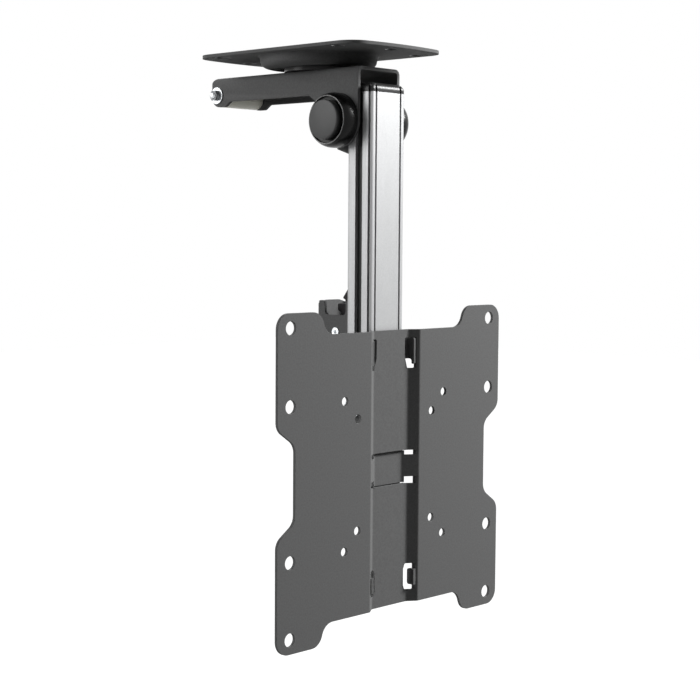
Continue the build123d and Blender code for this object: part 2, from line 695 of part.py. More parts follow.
def hinge_knuckle():
    """Casting behind the column: a foot, a head and a barrel for the fold bolt."""
    foot_face = make_hull(
        (Pos(HINGE_Y, HINGE_Z) * Circle(BARREL_RADIUS)).edges()
        + Line(
            (COLUMN_BACK_Y, HINGE_Z - FOOT_DROP),
            (COLUMN_BACK_Y + FOOT_DEPTH, HINGE_Z - FOOT_BACK_DROP),
        ).edges()
        + Line(
            (COLUMN_BACK_Y, HINGE_Z + HEAD_RISE),
            (COLUMN_BACK_Y + FOOT_DEPTH / 2, HINGE_Z + HEAD_RISE),
        ).edges()
    )
    foot = extrude(Plane.YZ * foot_face, FOOT_SIDE, both=True, dir=(1, 0, 0))
    barrel_end = COLUMN_SIDE + BARREL_STANDOFF
    barrel = rod_x(BARREL_RADIUS, (-barrel_end, barrel_end), HINGE_Y, HINGE_Z)
    reach = 2 * BARREL_RADIUS + FOOT_DROP
    behind = block(
        (-COLUMN_WIDTH, COLUMN_WIDTH),
        (COLUMN_BACK_Y, COLUMN_BACK_Y + reach),
        (HINGE_Z - reach, HINGE_Z + reach),
    )
    knuckle = (foot + barrel) & behind
    bore_ends = (-barrel_end, barrel_end)
    knuckle -= rod_x(HINGE_BOLT / 2 + RUNNING_FIT, bore_ends, HINGE_Y, HINGE_Z)
    seat_y = COLUMN_BACK_Y + KNUCKLE_SEAT
    head_radius = SCREW_HEAD_SHARE * KNUCKLE_SCREW / 2
    for x, screw_z in screw_places()[0]:
        knuckle -= rod_y(KNUCKLE_SCREW / 2 + LOOSE_GAP, x, (COLUMN_BACK_Y, seat_y), screw_z)
        knuckle -= rod_y(head_radius + LOOSE_GAP, x, (seat_y, seat_y + reach), screw_z)
    return knuckle


def rear_bracket():
    """Box folded from one sheet: two cheeks, a back and tongues on the column."""
    half = REAR_SIDE
    front_y = COLUMN_BACK_Y
    mouth_front = front_y + MOUTH_FRONT
    mouth_back = mouth_front + MOUTH_WIDTH
    mouth_z = REAR_TOP_Z - MOUTH_DEPTH
    solid = block((-half, half), (front_y, REAR_BACK_Y), (REAR_BOTTOM_Z, REAR_TOP_Z))
    solid = fillet(solid.edges().filter_by(Axis.Z).group_by(Axis.Y)[-1], REAR_SHEET + 0.5)
    inside = block(
        (-half + REAR_SHEET, half - REAR_SHEET),
        (front_y + REAR_SHEET, REAR_BACK_Y - REAR_SHEET),
        (REAR_BOTTOM_Z, REAR_TOP_Z),
    )
    inside = fillet(inside.edges().filter_by(Axis.Z).group_by(Axis.Y)[-1], 0.5)
    between = block(
        (-half + REAR_TONGUE, half - REAR_TONGUE),
        (front_y, front_y + REAR_SHEET),
        (REAR_BOTTOM_Z, REAR_TOP_Z),
    )
    bracket = solid - inside - between

    # Side view of the cheeks: rounded back corner and an open mouth
    cheek = side_plate(
        [
            (front_y, REAR_BOTTOM_Z, 0),
            (REAR_BACK_Y, REAR_BOTTOM_Z, 0),
            (REAR_BACK_Y, REAR_TOP_Z, REAR_CORNER),
            (mouth_back, REAR_TOP_Z, 1.0),
            (mouth_back, mouth_z, MOUTH_ROUND),
            (mouth_front, mouth_z, MOUTH_ROUND),
            (mouth_front, REAR_TOP_Z, 0.5),
            (front_y, REAR_TOP_Z, 0),
        ],
        (-half, half),
    )
    keep_back = block(
        (-half + REAR_SHEET, half - REAR_SHEET),
        (REAR_BACK_Y - REAR_SHEET, REAR_BACK_Y),
        (REAR_BOTTOM_Z, REAR_TOP_Z),
    )
    bracket = (bracket & cheek) + (solid & keep_back)
    back_y = (REAR_BACK_Y - REAR_SHEET, REAR_BACK_Y)
    shoulder = front_plate(
        [
            (BACK_FLAT_HALF_WIDTH, REAR_TOP_Z, 0),
            (half, REAR_TOP_Z, 0),
            (half, REAR_TOP_Z - BACK_DIP, 0),
        ],
        back_y,
    )
    bracket -= both_sides(shoulder)
    bracket -= rod_x(LEVER_PIN / 2 + RUNNING_FIT, (-half, half), LEVER_Y, LEVER_Z)
    # The lower screws are reached through the back, the upper ones from the open top
    for x, screw_z in screw_places()[1]:
        bracket -= rod_y(REAR_SCREW / 2 + LOOSE_GAP, x, (front_y, front_y + REAR_SHEET), screw_z)
        if screw_z < LEVER_Z:
            bracket -= rod_y(DRIVER_HOLE / 2, x, back_y, screw_z)
    return bracket


def spring_radius():
    """Radius of the lever spring's wire centre line."""
    return LEVER_PIN / 2 + RUNNING_FIT + SPACER_WALL + FACE_GAP + SPRING_WIRE / 2


def hook_lever():
    """Flat lever with a barbed nose above its hub and a finger tail below."""
    def at(back, up):
        return COLUMN_BACK_Y + back, SCREEN_CENTRE_Z + up

    across = (-LEVER_THICKNESS / 2, LEVER_THICKNESS / 2)
    nose = side_plate(
        [
            (*at(NOSE_FRONT, LEVER_PIVOT_Z - LEVER_HUB / 2), 2.0),
            (*at(NOSE_FRONT, NOSE_FRONT_TOP), 5.0),
            (*at(NOSE_TIP_BACK, NOSE_TIP), 1.5),
            (*at(BARB_BACK, BARB_TIP), 0.5),
            (*at(BARB_ROOT_BACK, BARB_TIP - BARB_DEPTH), 0.5),
            (*at(BARB_ROOT_BACK, SHOULDER_TOP), 0.5),
            (*at(SHOULDER_BACK, SHOULDER_TOP), 1.0),
            (*at(SHOULDER_BACK, SHOULDER_LOW), 1.5),
            (*at(NECK_BACK, SHOULDER_LOW - 2.5), 1.5),
            (*at(NECK_BACK, LEVER_PIVOT_Z), 2.0),
        ],
        across,
    )
    tail = side_plate(
        [
            (*at(TAIL_FRONT, LEVER_PIVOT_Z), 1.0),
            (*at(TAIL_FRONT + TAIL_WIDTH, LEVER_PIVOT_Z), 1.0),
            (*at(TAIL_FRONT + TAIL_WIDTH, TAIL_BEND), TAIL_ROUND),
            (*at(TAIL_FRONT + TAIL_WIDTH + TAIL_KICK, TAIL_END), 1.6),
            (*at(TAIL_FRONT + TAIL_KICK, TAIL_END), 1.6),
            (*at(TAIL_FRONT, TAIL_BEND), TAIL_ROUND),
        ],
        across,
    )
    stud_y = LEVER_Y - spring_radius() + SPRING_WIRE / 2 + STUD_RADIUS
    stud_x = (0, LEVER_THICKNESS / 2 + SPRING_WIRE * (1.15 * SPRING_TURNS + 1.5))
    lever = nose + tail + rod_x(LEVER_HUB, across, LEVER_Y, LEVER_Z)
    lever += rod_x(STUD_RADIUS, stud_x, stud_y, LEVER_Z + STUD_RISE)
    return lever - rod_x(LEVER_PIN / 2 + RUNNING_FIT, across, LEVER_Y, LEVER_Z)


def lever_pieces():
    half = REAR_SIDE
    place = (LEVER_Y, LEVER_Z)
    pin = rod_x(LEVER_PIN / 2, (-half, half), *place)
    for head in both_sides(rod_x(PIN_HEAD / 2, (half, half + PIN_HEAD_HEIGHT), *place)):
        pin += head
    dimple_x = half + PIN_HEAD_HEIGHT
    for dimple in both_sides(rod_x(PIN_DIMPLE / 2, (dimple_x - 2.0, dimple_x), *place)):
        pin -= dimple
    spacer_x = (LEVER_THICKNESS / 2 + FACE_GAP, half - REAR_SHEET)
    spacer_bore = LEVER_PIN / 2 + RUNNING_FIT
    spacer = tube_x(spacer_bore + SPACER_WALL, spacer_bore, spacer_x, *place)

    # Torsion spring round the right spacer: one leg on the back, one on the lever's stud
    pitch = SPRING_WIRE * 1.15
    first_x = spacer_x[0] + LOOSE_GAP + SPRING_WIRE / 2
    turns = Helix(pitch, pitch * SPRING_TURNS, spring_radius(), lefthand=True)
    long_leg = REAR_BACK_Y - REAR_SHEET - LEVER_Y - FACE_GAP
    start = Line(turns @ 0 - (turns % 0) * long_leg, turns @ 0)
    end = Line(turns @ 1, turns @ 1 + (turns % 1) * SPRING_LEG)
    path = start + turns + end
    wire = sweep(Plane(start @ 0, z_dir=start % 0) * Circle(SPRING_WIRE / 2), path)
    coil = Pos(first_x, *place) * Rot(0, 90, 0) * wire
    return {
        "lever_pin": pin,
        "lever_spacers": both_sides(spacer),
        "lever_spring": coil,
        "hook_lever": hook_lever(),
    }


def tilt_bracket():
    """Sheet spine behind the screen plate with two cheeks, two ears and their hooks."""
    sheet = BRACKET_SHEET
    front_y = STRIP_BACK_Y
    back_y = front_y + sheet
    centre_z = SCREEN_CENTRE_Z
    window_half = COLUMN_SIDE + LOOSE_GAP
    spine = front_plate(
        [
            (-SPINE_HALF_WIDTH, centre_z - SPINE_HALF_HEIGHT, 3.0),
            (SPINE_HALF_WIDTH, centre_z - SPINE_HALF_HEIGHT, 3.0),
            (SPINE_HALF_WIDTH, centre_z + SPINE_HALF_HEIGHT, 3.0),
            (-SPINE_HALF_WIDTH, centre_z + SPINE_HALF_HEIGHT, 3.0),
        ],
        (front_y, back_y),
    )
    middle = block(
        (-CHEEK_OUTER, CHEEK_OUTER),
        (front_y, back_y),
        (centre_z + CHEEK_LOW, centre_z + CHEEK_HIGH),
    )
    cheek_face = make_hull(
        (Pos(PIVOT_Y, PIVOT_Z) * Circle(CHEEK_EYE)).edges()
        + Polyline(
            (front_y, centre_z + CHEEK_LOW),
            (back_y + CHEEK_BACK_STRIP, centre_z + CHEEK_LOW),
        ).edges()
        + Polyline(
            (front_y, centre_z + CHEEK_HIGH),
            (back_y + CHEEK_BACK_STRIP, centre_z + CHEEK_HIGH),
        ).edges()
    )
    cheek = extrude(Plane.YZ * cheek_face, sheet, dir=(1, 0, 0))
    cheek = Pos(CHEEK_INNER, 0, 0) * cheek
    bracket = spine + middle + both_sides(cheek)
    outer_bends = bracket.edges().filter_by(Axis.Z).group_by(Axis.Y)[0]
    outer_bends = [e for e in outer_bends if abs(abs(e.center().X) - CHEEK_OUTER) < 0.01]
    bracket = fillet(outer_bends, sheet)

    # Ears with hooks bent forward into the screen plate's upper slots
    ear = front_plate(
        [
            (SPINE_HALF_WIDTH - sheet, centre_z + HOOK_LOW, 0),
            (HOOK_OUTER_X, centre_z + HOOK_LOW, 0),
            (HOOK_OUTER_X, centre_z + EAR_HIGH, 0),
            (SPINE_HALF_WIDTH - sheet, centre_z + EAR_HIGH, 0),
        ],
        (front_y, back_y),
    )
    tip_y = front_y - HOOK_REACH
    hook = side_plate(
        [
            (back_y, centre_z + HOOK_LOW, 0),
            (back_y, centre_z + EAR_HIGH, 0),
            (tip_y, centre_z + EAR_HIGH, 1.5),
            (tip_y, centre_z + HOOK_TIP_LOW, 0.6),
            (tip_y + HOOK_TIP, centre_z + HOOK_TIP_LOW, 0.6),
            (tip_y + HOOK_TIP, centre_z + HOOK_LOW, 1.8),
        ],
        (HOOK_OUTER_X - sheet, HOOK_OUTER_X),
    )
    arm = ear + hook
    outer_bend = arm.edges().filter_by(Axis.Z).sort_by_distance(
        (HOOK_OUTER_X, back_y, centre_z + EAR_HIGH)
    )[0]
    arm = fillet(outer_bend, sheet)
    bracket += both_sides(arm)

    # Opening in front of the column's end, and a step clear of the plate's strap
    bracket -= block(
        (-window_half, window_half),
        (front_y, back_y),
        (COLUMN_END_Z - BOTTOM_CAP_HEIGHT - 4 * LOOSE_GAP, centre_z + CHEEK_HIGH - 3),
    )
    step_half = STRAP_HALF_HEIGHT + 2.0
    bracket -= block(
        (-SPINE_HALF_WIDTH, SPINE_HALF_WIDTH),
        (front_y, back_y),
        (centre_z - step_half, centre_z + step_half),
    )
    overlap = step_half + sheet
    bracket += block(
        (-SPINE_HALF_WIDTH, SPINE_HALF_WIDTH),
        (back_y, back_y + sheet),
        (centre_z - overlap, centre_z + overlap),
    )
    eye_ends = (-CHEEK_OUTER, CHEEK_OUTER)
    bracket -= rod_x(TILT_BOLT / 2 + RUNNING_FIT, eye_ends, PIVOT_Y, PIVOT_Z)
    return bracket


def tilt_pieces():
    radius = TILT_BOLT / 2
    place = (PIVOT_Y, PIVOT_Z)
    washer_end = CHEEK_OUTER + TILT_WASHER_SHEET
    nut_end = washer_end + TILT_NUT
    bolt = rod_x(radius, (-washer_end, nut_end + STUD_END), *place)
    bolt += hex_x(TILT_HEX, (-washer_end - TILT_HEAD, -washer_end), *place)
    nut = hex_x(TILT_HEX, (washer_end, nut_end), *place)
    nut -= rod_x(radius, (washer_end, nut_end), *place)
    bore = radius + RUNNING_FIT
    washer = tube_x(TILT_WASHER / 2, bore, (CHEEK_OUTER, washer_end), *place)
    disc_x = (COLUMN_SIDE + FACE_GAP, COLUMN_SIDE + FACE_GAP + TILT_WASHER_SHEET)
    disc = tube_x(TILT_DISC / 2, bore, disc_x, *place)
    return {
        "tilt_bracket": tilt_bracket(),
        "tilt_bolt": bolt,
        "tilt_nut": nut,
        "tilt_washers": both_sides(washer),
        "tilt_friction_discs": both_sides(disc),
    }


def sunk_sheet(depth, flat_half_width, z, reach):
    """Length of sheet whose middle is sunk, between two Z ends and out to a reach."""
    t = SCREEN_SHEET
    slope = atan(depth / (FOLD_HALF_WIDTH - flat_half_width))
    shift = t * tan(slope / 2)
    front = SCREEN_PLATE_Y
    right = [
        (flat_half_width, front + depth, 3.0),
        (FOLD_HALF_WIDTH, front, 2.4),
        (reach, front, 0),
        (reach, front + t, 0),
        (FOLD_HALF_WIDTH + shift, front + t, 0.4),
        (flat_half_width + shift, front + depth + t, 5.0),
    ]
    left = [(-x, y, r) for x, y, r in reversed(right)]
    face = rounded_face(right + left)
    return Pos(0, 0, z[0]) * extrude(face, z[1] - z[0])


def screen_outline():
    """Front view of the screen plate with its waist and end notches."""
    quarter = [
        (NOTCH_HALF_WIDTH, SCREEN_HALF_HEIGHT - NOTCH_DEPTH, NOTCH_ROUND),
        (NOTCH_HALF_WIDTH + NOTCH_SLOPE, SCREEN_HALF_HEIGHT, NOTCH_ROUND),
        (SCREEN_HALF_WIDTH, SCREEN_HALF_HEIGHT, SCREEN_CORNER),
        (SCREEN_HALF_WIDTH, WAIST_HALF_HEIGHT, WAIST_ROUND),
        (SCREEN_HALF_WIDTH - WAIST_DEPTH, WAIST_HALF_HEIGHT, WAIST_ROUND),
    ]
    corners = quarter + [(x, -z, r) for x, z, r in reversed(quarter)]
    corners += [(-x, -z, r) for x, z, r in quarter]
    corners += [(-x, z, r) for x, z, r in reversed(quarter)]
    return [(x, z + SCREEN_CENTRE_Z, r) for x, z, r in corners]


def screen_plate():
    """One pressed sheet: sunk middle, lanced strap, windows, tabs and screen holes."""
    front = SCREEN_PLATE_Y
    centre_z = SCREEN_CENTRE_Z
    depth_span = (front - 1, front + 2 * SUNK_DEPTH + SCREEN_SHEET)
    z = (centre_z - SCREEN_HALF_HEIGHT - 1, centre_z + SCREEN_HALF_HEIGHT + 1)
    reach = SCREEN_HALF_WIDTH + 1
    plate = sunk_sheet(SUNK_DEPTH, SUNK_HALF_WIDTH, z, reach)
    plate &= front_plate(screen_outline(), depth_span)

    # The strap lies one sheet deeper and joins the walls by a narrow neck on each side
    strap_reach = FOLD_HALF_WIDTH + 3.0
    neck_z = (centre_z + STRAP_NECK_LOW, centre_z + STRAP_NECK_HIGH)
    strap_z = (centre_z - STRAP_HALF_HEIGHT, centre_z + STRAP_HALF_HEIGHT)
    shear_z = (strap_z[0] - SHEAR_GAP, strap_z[1] + SHEAR_GAP)
    neck = block((-strap_reach, strap_reach), depth_span, neck_z)
    band = block((-STRAP_WINDOW_X, STRAP_WINDOW_X), depth_span, strap_z)
    opening = block((-STRAP_WINDOW_X, STRAP_WINDOW_X), depth_span, shear_z)
    strap = sunk_sheet(SUNK_DEPTH + SCREEN_SHEET, STRAP_HALF_WIDTH, shear_z, strap_reach)
    plate = plate - neck - opening
    window = block(
        (STRAP_WINDOW_X, WINDOW_OUTER_X),
        depth_span,
        (centre_z + STRAP_WINDOW_LOW, centre_z + STRAP_WINDOW_HIGH),
    )
    plate -= both_sides(window)
    plate += (strap & neck) + (strap & band)

    slot_high = EAR_HIGH + FACE_GAP
    top_slot = front_plate(
        [
            (WINDOW_OUTER_X, centre_z + TOP_SLOT_LOW, 0.8),
            (WINDOW_OUTER_X, centre_z + slot_high, 0.8),
            (TOP_SLOT_INNER_X, centre_z + slot_high, 1.2),
            (TOP_SLOT_INNER_X, centre_z + TOP_SLOT_LOW + 8.5, 3.0),
            (TOP_SLOT_INNER_X + 2.6, centre_z + TOP_SLOT_LOW, 0.8),
        ],
        depth_span,
    )
    low_window = front_plate(
        [
            (WINDOW_OUTER_X, centre_z + LOW_WINDOW_BOTTOM, 0.8),
            (WINDOW_OUTER_X, centre_z + LOW_WINDOW_TOP, 0.8),
            (LOW_WINDOW_INNER_X + 1.5, centre_z + LOW_WINDOW_TOP, 1.2),
            (LOW_WINDOW_INNER_X, centre_z + LOW_WINDOW_TOP - 3.5, 1.2),
            (LOW_WINDOW_INNER_X, centre_z + LOW_WINDOW_BOTTOM + 3.5, 1.2),
            (LOW_WINDOW_INNER_X + 1.5, centre_z + LOW_WINDOW_BOTTOM, 1.2),
        ],
        depth_span,
    )
    plate -= both_sides(top_slot)
    plate -= both_sides(low_window)

    # Tabs bent back from the outer edges of the lower windows
    tab = side_plate(
        [
            (front + 0.6, centre_z + LOW_TAB_BOTTOM, 0),
            (front + LOW_TAB_BACK, centre_z + LOW_TAB_BOTTOM, 1.5),
            (front + LOW_TAB_BACK, centre_z + LOW_TAB_TOP, 1.5),
            (front + 0.6, centre_z + LOW_TAB_TOP, 0),
        ],
        (WINDOW_OUTER_X - SCREEN_SHEET, WINDOW_OUTER_X + 0.2),
    )
    plate += both_sides(tab)

    through = (front, front + SCREEN_SHEET)
    for spacing_x, spacing_z, hole in (
        (LARGE_PATTERN, LARGE_PATTERN, LARGE_HOLE),
        (LARGE_PATTERN, MIDDLE_PATTERN, LARGE_HOLE),
        (MIDDLE_PATTERN, MIDDLE_PATTERN, SMALL_HOLE),
        (SMALL_PATTERN, SMALL_PATTERN, SMALL_HOLE),
    ):
        for x in (-spacing_x / 2, spacing_x / 2):
            for up in (-spacing_z / 2, spacing_z / 2):
                plate -= rod_y(hole / 2, x, through, centre_z + up)
    return plate


def build():
    """Every piece by name; a list holds like fasteners that share a name."""
    knuckle_places, rear_places = screw_places()
    knuckle_seat = COLUMN_BACK_Y + KNUCKLE_SEAT
    rear_seat = COLUMN_BACK_Y + REAR_SHEET
    pieces = {"ceiling_plate": ceiling_plate()}
    pieces.update(swivel_pieces())
    pieces["top_arm"] = top_arm()
    pieces.update(catch_pieces())
    pieces.update(hinge_pieces())
    pieces.update(column_pieces())
    pieces["hinge_knuckle"] = hinge_knuckle()
    pieces["knuckle_screws"] = [
        pan_screw(KNUCKLE_SCREW, x, z, knuckle_seat) for x, z in knuckle_places
    ]
    pieces["rear_bracket"] = rear_bracket()
    pieces["bracket_screws"] = [
        pan_screw(REAR_SCREW, x, z, rear_seat) for x, z in rear_places
    ]
    pieces.update(lever_pieces())
    pieces.update(tilt_pieces())
    pieces["screen_plate"] = screen_plate()
    return pieces


os.makedirs("parts", exist_ok=True)
for name, piece in build().items():
    if isinstance(piece, list):
        piece = Compound(children=[Part(p.wrapped) if isinstance(p, Part) else p for p in piece])
    export_step(piece, os.path.join("parts", name + ".step"))
    print(name, round(piece.volume, 1))
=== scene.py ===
import bmesh
import bpy
import json
import math
from mathutils import Matrix, Vector

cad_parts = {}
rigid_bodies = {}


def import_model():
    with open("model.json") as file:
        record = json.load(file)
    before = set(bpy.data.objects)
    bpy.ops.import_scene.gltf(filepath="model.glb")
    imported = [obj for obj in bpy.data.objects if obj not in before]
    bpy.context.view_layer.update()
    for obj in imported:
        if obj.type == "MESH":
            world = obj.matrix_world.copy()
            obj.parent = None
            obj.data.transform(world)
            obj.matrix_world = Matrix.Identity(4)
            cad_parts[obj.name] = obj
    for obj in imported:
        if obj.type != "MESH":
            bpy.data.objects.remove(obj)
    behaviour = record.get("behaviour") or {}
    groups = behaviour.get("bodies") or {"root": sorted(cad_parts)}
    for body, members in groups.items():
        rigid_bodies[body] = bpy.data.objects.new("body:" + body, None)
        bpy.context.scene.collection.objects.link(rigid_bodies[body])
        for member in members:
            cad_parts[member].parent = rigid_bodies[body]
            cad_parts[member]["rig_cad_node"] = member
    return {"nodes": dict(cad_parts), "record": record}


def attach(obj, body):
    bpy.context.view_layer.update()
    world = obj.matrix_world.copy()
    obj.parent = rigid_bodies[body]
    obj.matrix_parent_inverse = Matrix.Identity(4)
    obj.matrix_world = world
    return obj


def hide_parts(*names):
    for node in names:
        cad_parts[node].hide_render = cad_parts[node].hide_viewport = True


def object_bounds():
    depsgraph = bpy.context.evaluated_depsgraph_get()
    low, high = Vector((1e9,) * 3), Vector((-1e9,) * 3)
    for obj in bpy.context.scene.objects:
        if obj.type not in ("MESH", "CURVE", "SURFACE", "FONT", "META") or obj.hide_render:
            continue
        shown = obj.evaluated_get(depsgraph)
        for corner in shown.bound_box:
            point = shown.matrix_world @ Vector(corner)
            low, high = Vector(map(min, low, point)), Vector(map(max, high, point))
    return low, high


# Metres, in the part's own frame: X along the fold axis, -Y towards the viewer of the screen,
# Z up. The origin is on the swivel axis, at the ceiling.

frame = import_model()
solid_low, solid_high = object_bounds()

MM = 0.001
ROUND_STEPS = 72

# The photograph's camera
CAMERA_PLACE = (-0.8010, -0.7900, -0.1262)
CAMERA_FORWARD = (0.7245, 0.6854, -0.0725)
CAMERA_UP = (0.0479, 0.0548, 0.9973)
CAMERA_LENS = 81.69

FLOOR_BELOW = 0.34


# Ways of working with a piece

def let_go():
    """Nothing stays selected, so the next operator acts on the new piece alone."""
    bpy.ops.object.select_all(action="DESELECT")


def take(piece):
    """The piece becomes the only selected one and the active one."""
    let_go()
    piece.select_set(True)
    bpy.context.view_layer.objects.active = piece


def open_mesh(piece):
    take(piece)
    bpy.ops.object.mode_set(mode="EDIT")
    bpy.ops.mesh.select_mode(type="EDGE")
    bpy.ops.mesh.select_all(action="SELECT")


def close_mesh():
    bpy.ops.object.mode_set(mode="OBJECT")


def settle(piece):
    """The piece's place, turn and size go into its mesh."""
    take(piece)
    bpy.ops.object.transform_apply(location=True, rotation=True, scale=True)


def apply_all(piece):
    take(piece)
    for modifier in list(piece.modifiers):
        bpy.ops.object.modifier_apply(modifier=modifier.name)


def shade(piece, angle=32):
    take(piece)
    bpy.ops.object.shade_smooth_by_angle(angle=math.radians(angle))


def soften(piece, width, segments=2, angle=38):
    """Rounds the sharp edges."""
    take(piece)
    bpy.ops.object.modifier_add(type="BEVEL")
    bevel = piece.modifiers[-1]
    bevel.width = width
    bevel.segments = segments
    bevel.limit_method = "ANGLE"
    bevel.angle_limit = math.radians(angle)
    bevel.use_clamp_overlap = True
    apply_all(piece)


def combine(piece, tool, how):
    """Cuts a tool out of a piece, keeps what they share or joins them; the tool is used up."""
    take(piece)
    bpy.ops.object.modifier_add(type="BOOLEAN")
    modifier = piece.modifiers[-1]
    modifier.operation = how
    modifier.object = tool
    modifier.solver = "EXACT"
    apply_all(piece)
    bpy.data.objects.remove(tool, do_unlink=True)
    return piece


def turned(name, stations, centre, axis="X", around=ROUND_STEPS, closed=False):
    """Turns a piece round an axis: a ring is extruded and resized from station to station.

    A station is a distance along the axis and a radius, both in millimetres. A closed piece,
    such as a washer, joins its last ring to its first; any other gets a flat end at each.
    """
    let_go()
    first, radius = stations[0]
    bpy.ops.mesh.primitive_circle_add(
        vertices=around, radius=radius * MM, location=(0, 0, 0), fill_type="NOTHING"
    )
    piece = bpy.context.active_object
    piece.name = name
    open_mesh(piece)
    bpy.ops.transform.translate(value=(0, 0, first * MM))
    for (here, radius), (there, next_radius) in zip(stations, stations[1:]):
        bpy.ops.mesh.extrude_region_move(
            TRANSFORM_OT_translate={"value": (0, 0, (there - here) * MM)}
        )
        growth = next_radius / radius
        bpy.ops.transform.resize(
            value=(growth, growth, 1), center_override=(0, 0, there * MM)
        )
    bpy.ops.mesh.select_all(action="DESELECT")
    bpy.ops.mesh.select_non_manifold()
    if closed:
        bpy.ops.mesh.bridge_edge_loops()
    else:
        fill_ends(piece)
    bpy.ops.mesh.select_all(action="SELECT")
    bpy.ops.mesh.normals_make_consistent(inside=False)
    close_mesh()
    if axis == "X":
        piece.rotation_euler = (0, math.pi / 2, 0)
    if axis == "Y":
        piece.rotation_euler = (-math.pi / 2, 0, 0)
    piece.location = centre
    settle(piece)
    return piece


def fill_ends(piece):
    """Closes each open ring of the mesh with one face."""
    mesh = bmesh.from_edit_mesh(piece.data)
    open_edges = [edge for edge in mesh.edges if edge.is_boundary]
    bmesh.ops.holes_fill(mesh, edges=open_edges, sides=0)
    bmesh.update_edit_mesh(piece.data)


def joined(first, *others):
    """Several pieces become one."""
    let_go()
    for other in others:
        other.select_set(True)
    first.select_set(True)
    bpy.context.view_layer.objects.active = first
    bpy.ops.object.join()
    return first


def hexagon(name, across, start, end, centre, axis="X"):
    """Hexagon of a bolt's head or a nut, its corners turned off at both ends."""
    corner = across / math.sqrt(3)
    drop = (corner - 0.475 * across) * 0.6
    let_go()
    bpy.ops.mesh.primitive_cylinder_add(
        vertices=6, radius=corner * MM, depth=(end - start) * MM, location=(0, 0, 0)
    )
    piece = bpy.context.active_object
    piece.name = name
    bpy.ops.transform.translate(value=(0, 0, (start + end) / 2 * MM))
    if axis == "X":
        bpy.ops.object.transform_apply(location=True, rotation=True, scale=True)
        piece.rotation_euler = (0, math.pi / 2, 0)
    piece.location = Vector(centre) if axis == "X" else piece.location + Vector(centre)
    settle(piece)
    lens = turned(
        name + "_lens",
        [
            (start - 0.02, 0.475 * across),
            (start + drop, corner + 0.02),
            (end - drop, corner + 0.02),
            (end + 0.02, 0.475 * across),
        ],
        centre,
        axis,
        96,
    )
    return combine(piece, lens, "INTERSECT")


def bored(piece, radius, start, end, centre, axis="X"):
    """Cuts a bore with a small chamfer at each mouth."""
    drill = turned(
        "drill",
        [
            (start - 0.1, radius + 0.5),
            (start + 0.35, radius),
            (end - 0.35, radius),
            (end + 0.1, radius + 0.5),
        ],
        centre,
        axis,
        48,
    )
    return combine(piece, drill, "DIFFERENCE")


def cut_thread(piece, radius, pitch, low, high, centre, axis="X"):
    """Draws the shank's surface in along a helix between two places on its axis."""
    main = "XYZ".index(axis)
    first, second = [i for i in range(3) if i != main]
    for vertex in piece.data.vertices:
        along = (vertex.co[main] - centre[main]) / MM
        out = Vector((vertex.co[first] - centre[first], vertex.co[second] - centre[second]))
        if low <= along <= high and out.length > 0.75 * radius * MM:
            phase = (along / pitch - math.atan2(out.y, out.x) / math.tau) % 1
            depth = 0.5 * pitch * abs(2 * phase - 1) * MM
            share = 1 - depth / out.length
            vertex.co[first] = centre[first] + out.x * share
            vertex.co[second] = centre[second] + out.y * share


def threaded_end(name, radius, pitch, start, end, centre, axis="X"):
    """Length of rolled thread with a domed point at its far end."""
    sense = 1 if end > start else -1
    length = abs(end - start) - 0.35 * radius
    count = int(length / pitch * 7)
    stations = [(start + sense * length * i / count, radius) for i in range(count + 1)]
    tip = stations[-1][0]
    for share, size in ((0.10, 0.93), (0.2, 0.8), (0.28, 0.6), (0.33, 0.35), (0.35, 0.1)):
        stations.append((tip + sense * share * radius, radius * size))
    piece = turned(name, stations, centre, axis, 40)
    low, high = sorted((start, tip))
    cut_thread(piece, radius, pitch, low, high, centre, axis)
    shade(piece, 50)
    return piece


def rounded_outline(corners, steps=8):
    """Outline points of a shape given by its corners (across, up, radius), in millimetres."""
    points = []
    count = len(corners)
    for i, (across, up, radius) in enumerate(corners):
        here = Vector((across, up))
        before = (Vector(corners[i - 1][:2]) - here).normalized()
        after = (Vector(corners[(i + 1) % count][:2]) - here).normalized()
        if radius == 0:
            points.append(here)
            continue
        half = before.angle(after) / 2
        centre = here + (before + after).normalized() * radius / math.sin(half)
        first = here + before * radius / math.tan(half) - centre
        last = here + after * radius / math.tan(half) - centre
        turn = first.angle_signed(last)
        for step in range(steps + 1):
            point = centre + Matrix.Rotation(-turn * step / steps, 2) @ first
            if not points or (point - points[-1]).length > 1e-4:
                points.append(point)
    return points


def prism(name, outline, start, end, axis):
    """Flat outline pushed out to a thickness; a circle's points are laid along the outline."""
    let_go()
    bpy.ops.mesh.primitive_circle_add(vertices=len(outline), radius=MM, fill_type="NGON")
    piece = bpy.context.active_object
    piece.name = name
    for vertex, point in zip(piece.data.vertices, outline):
        if axis == "X":
            vertex.co = (start * MM, point.x * MM, point.y * MM)
        else:
            vertex.co = (point.x * MM, start * MM, point.y * MM)
    length = (end - start) * MM
    push = (length, 0, 0) if axis == "X" else (0, length, 0)
    open_mesh(piece)
    bpy.ops.mesh.extrude_region_move(TRANSFORM_OT_translate={"value": push})
    bpy.ops.mesh.select_all(action="SELECT")
    bpy.ops.mesh.normals_make_consistent(inside=False)
    close_mesh()
    return piece


def drilled(piece, radius, start, end, centre, axis):
    """Cuts a plain round hole."""
    drill = turned("drill", [(start, radius), (end, radius)], centre, axis, 64)
    return combine(piece, drill, "DIFFERENCE")


def mirrored_by_turn(piece, name, centre):
    """Copy with its own mesh, turned half round the upright line through a place."""
    twin = piece.copy()
    twin.data = piece.data.copy()
    bpy.context.scene.collection.objects.link(twin)
    twin.name = name
    half_turn = Matrix.Rotation(math.pi, 4, "Z")
    away = Matrix.Translation(-Vector(centre))
    twin.matrix_world = Matrix.Translation(centre) @ half_turn @ away
    settle(twin)
    return twin


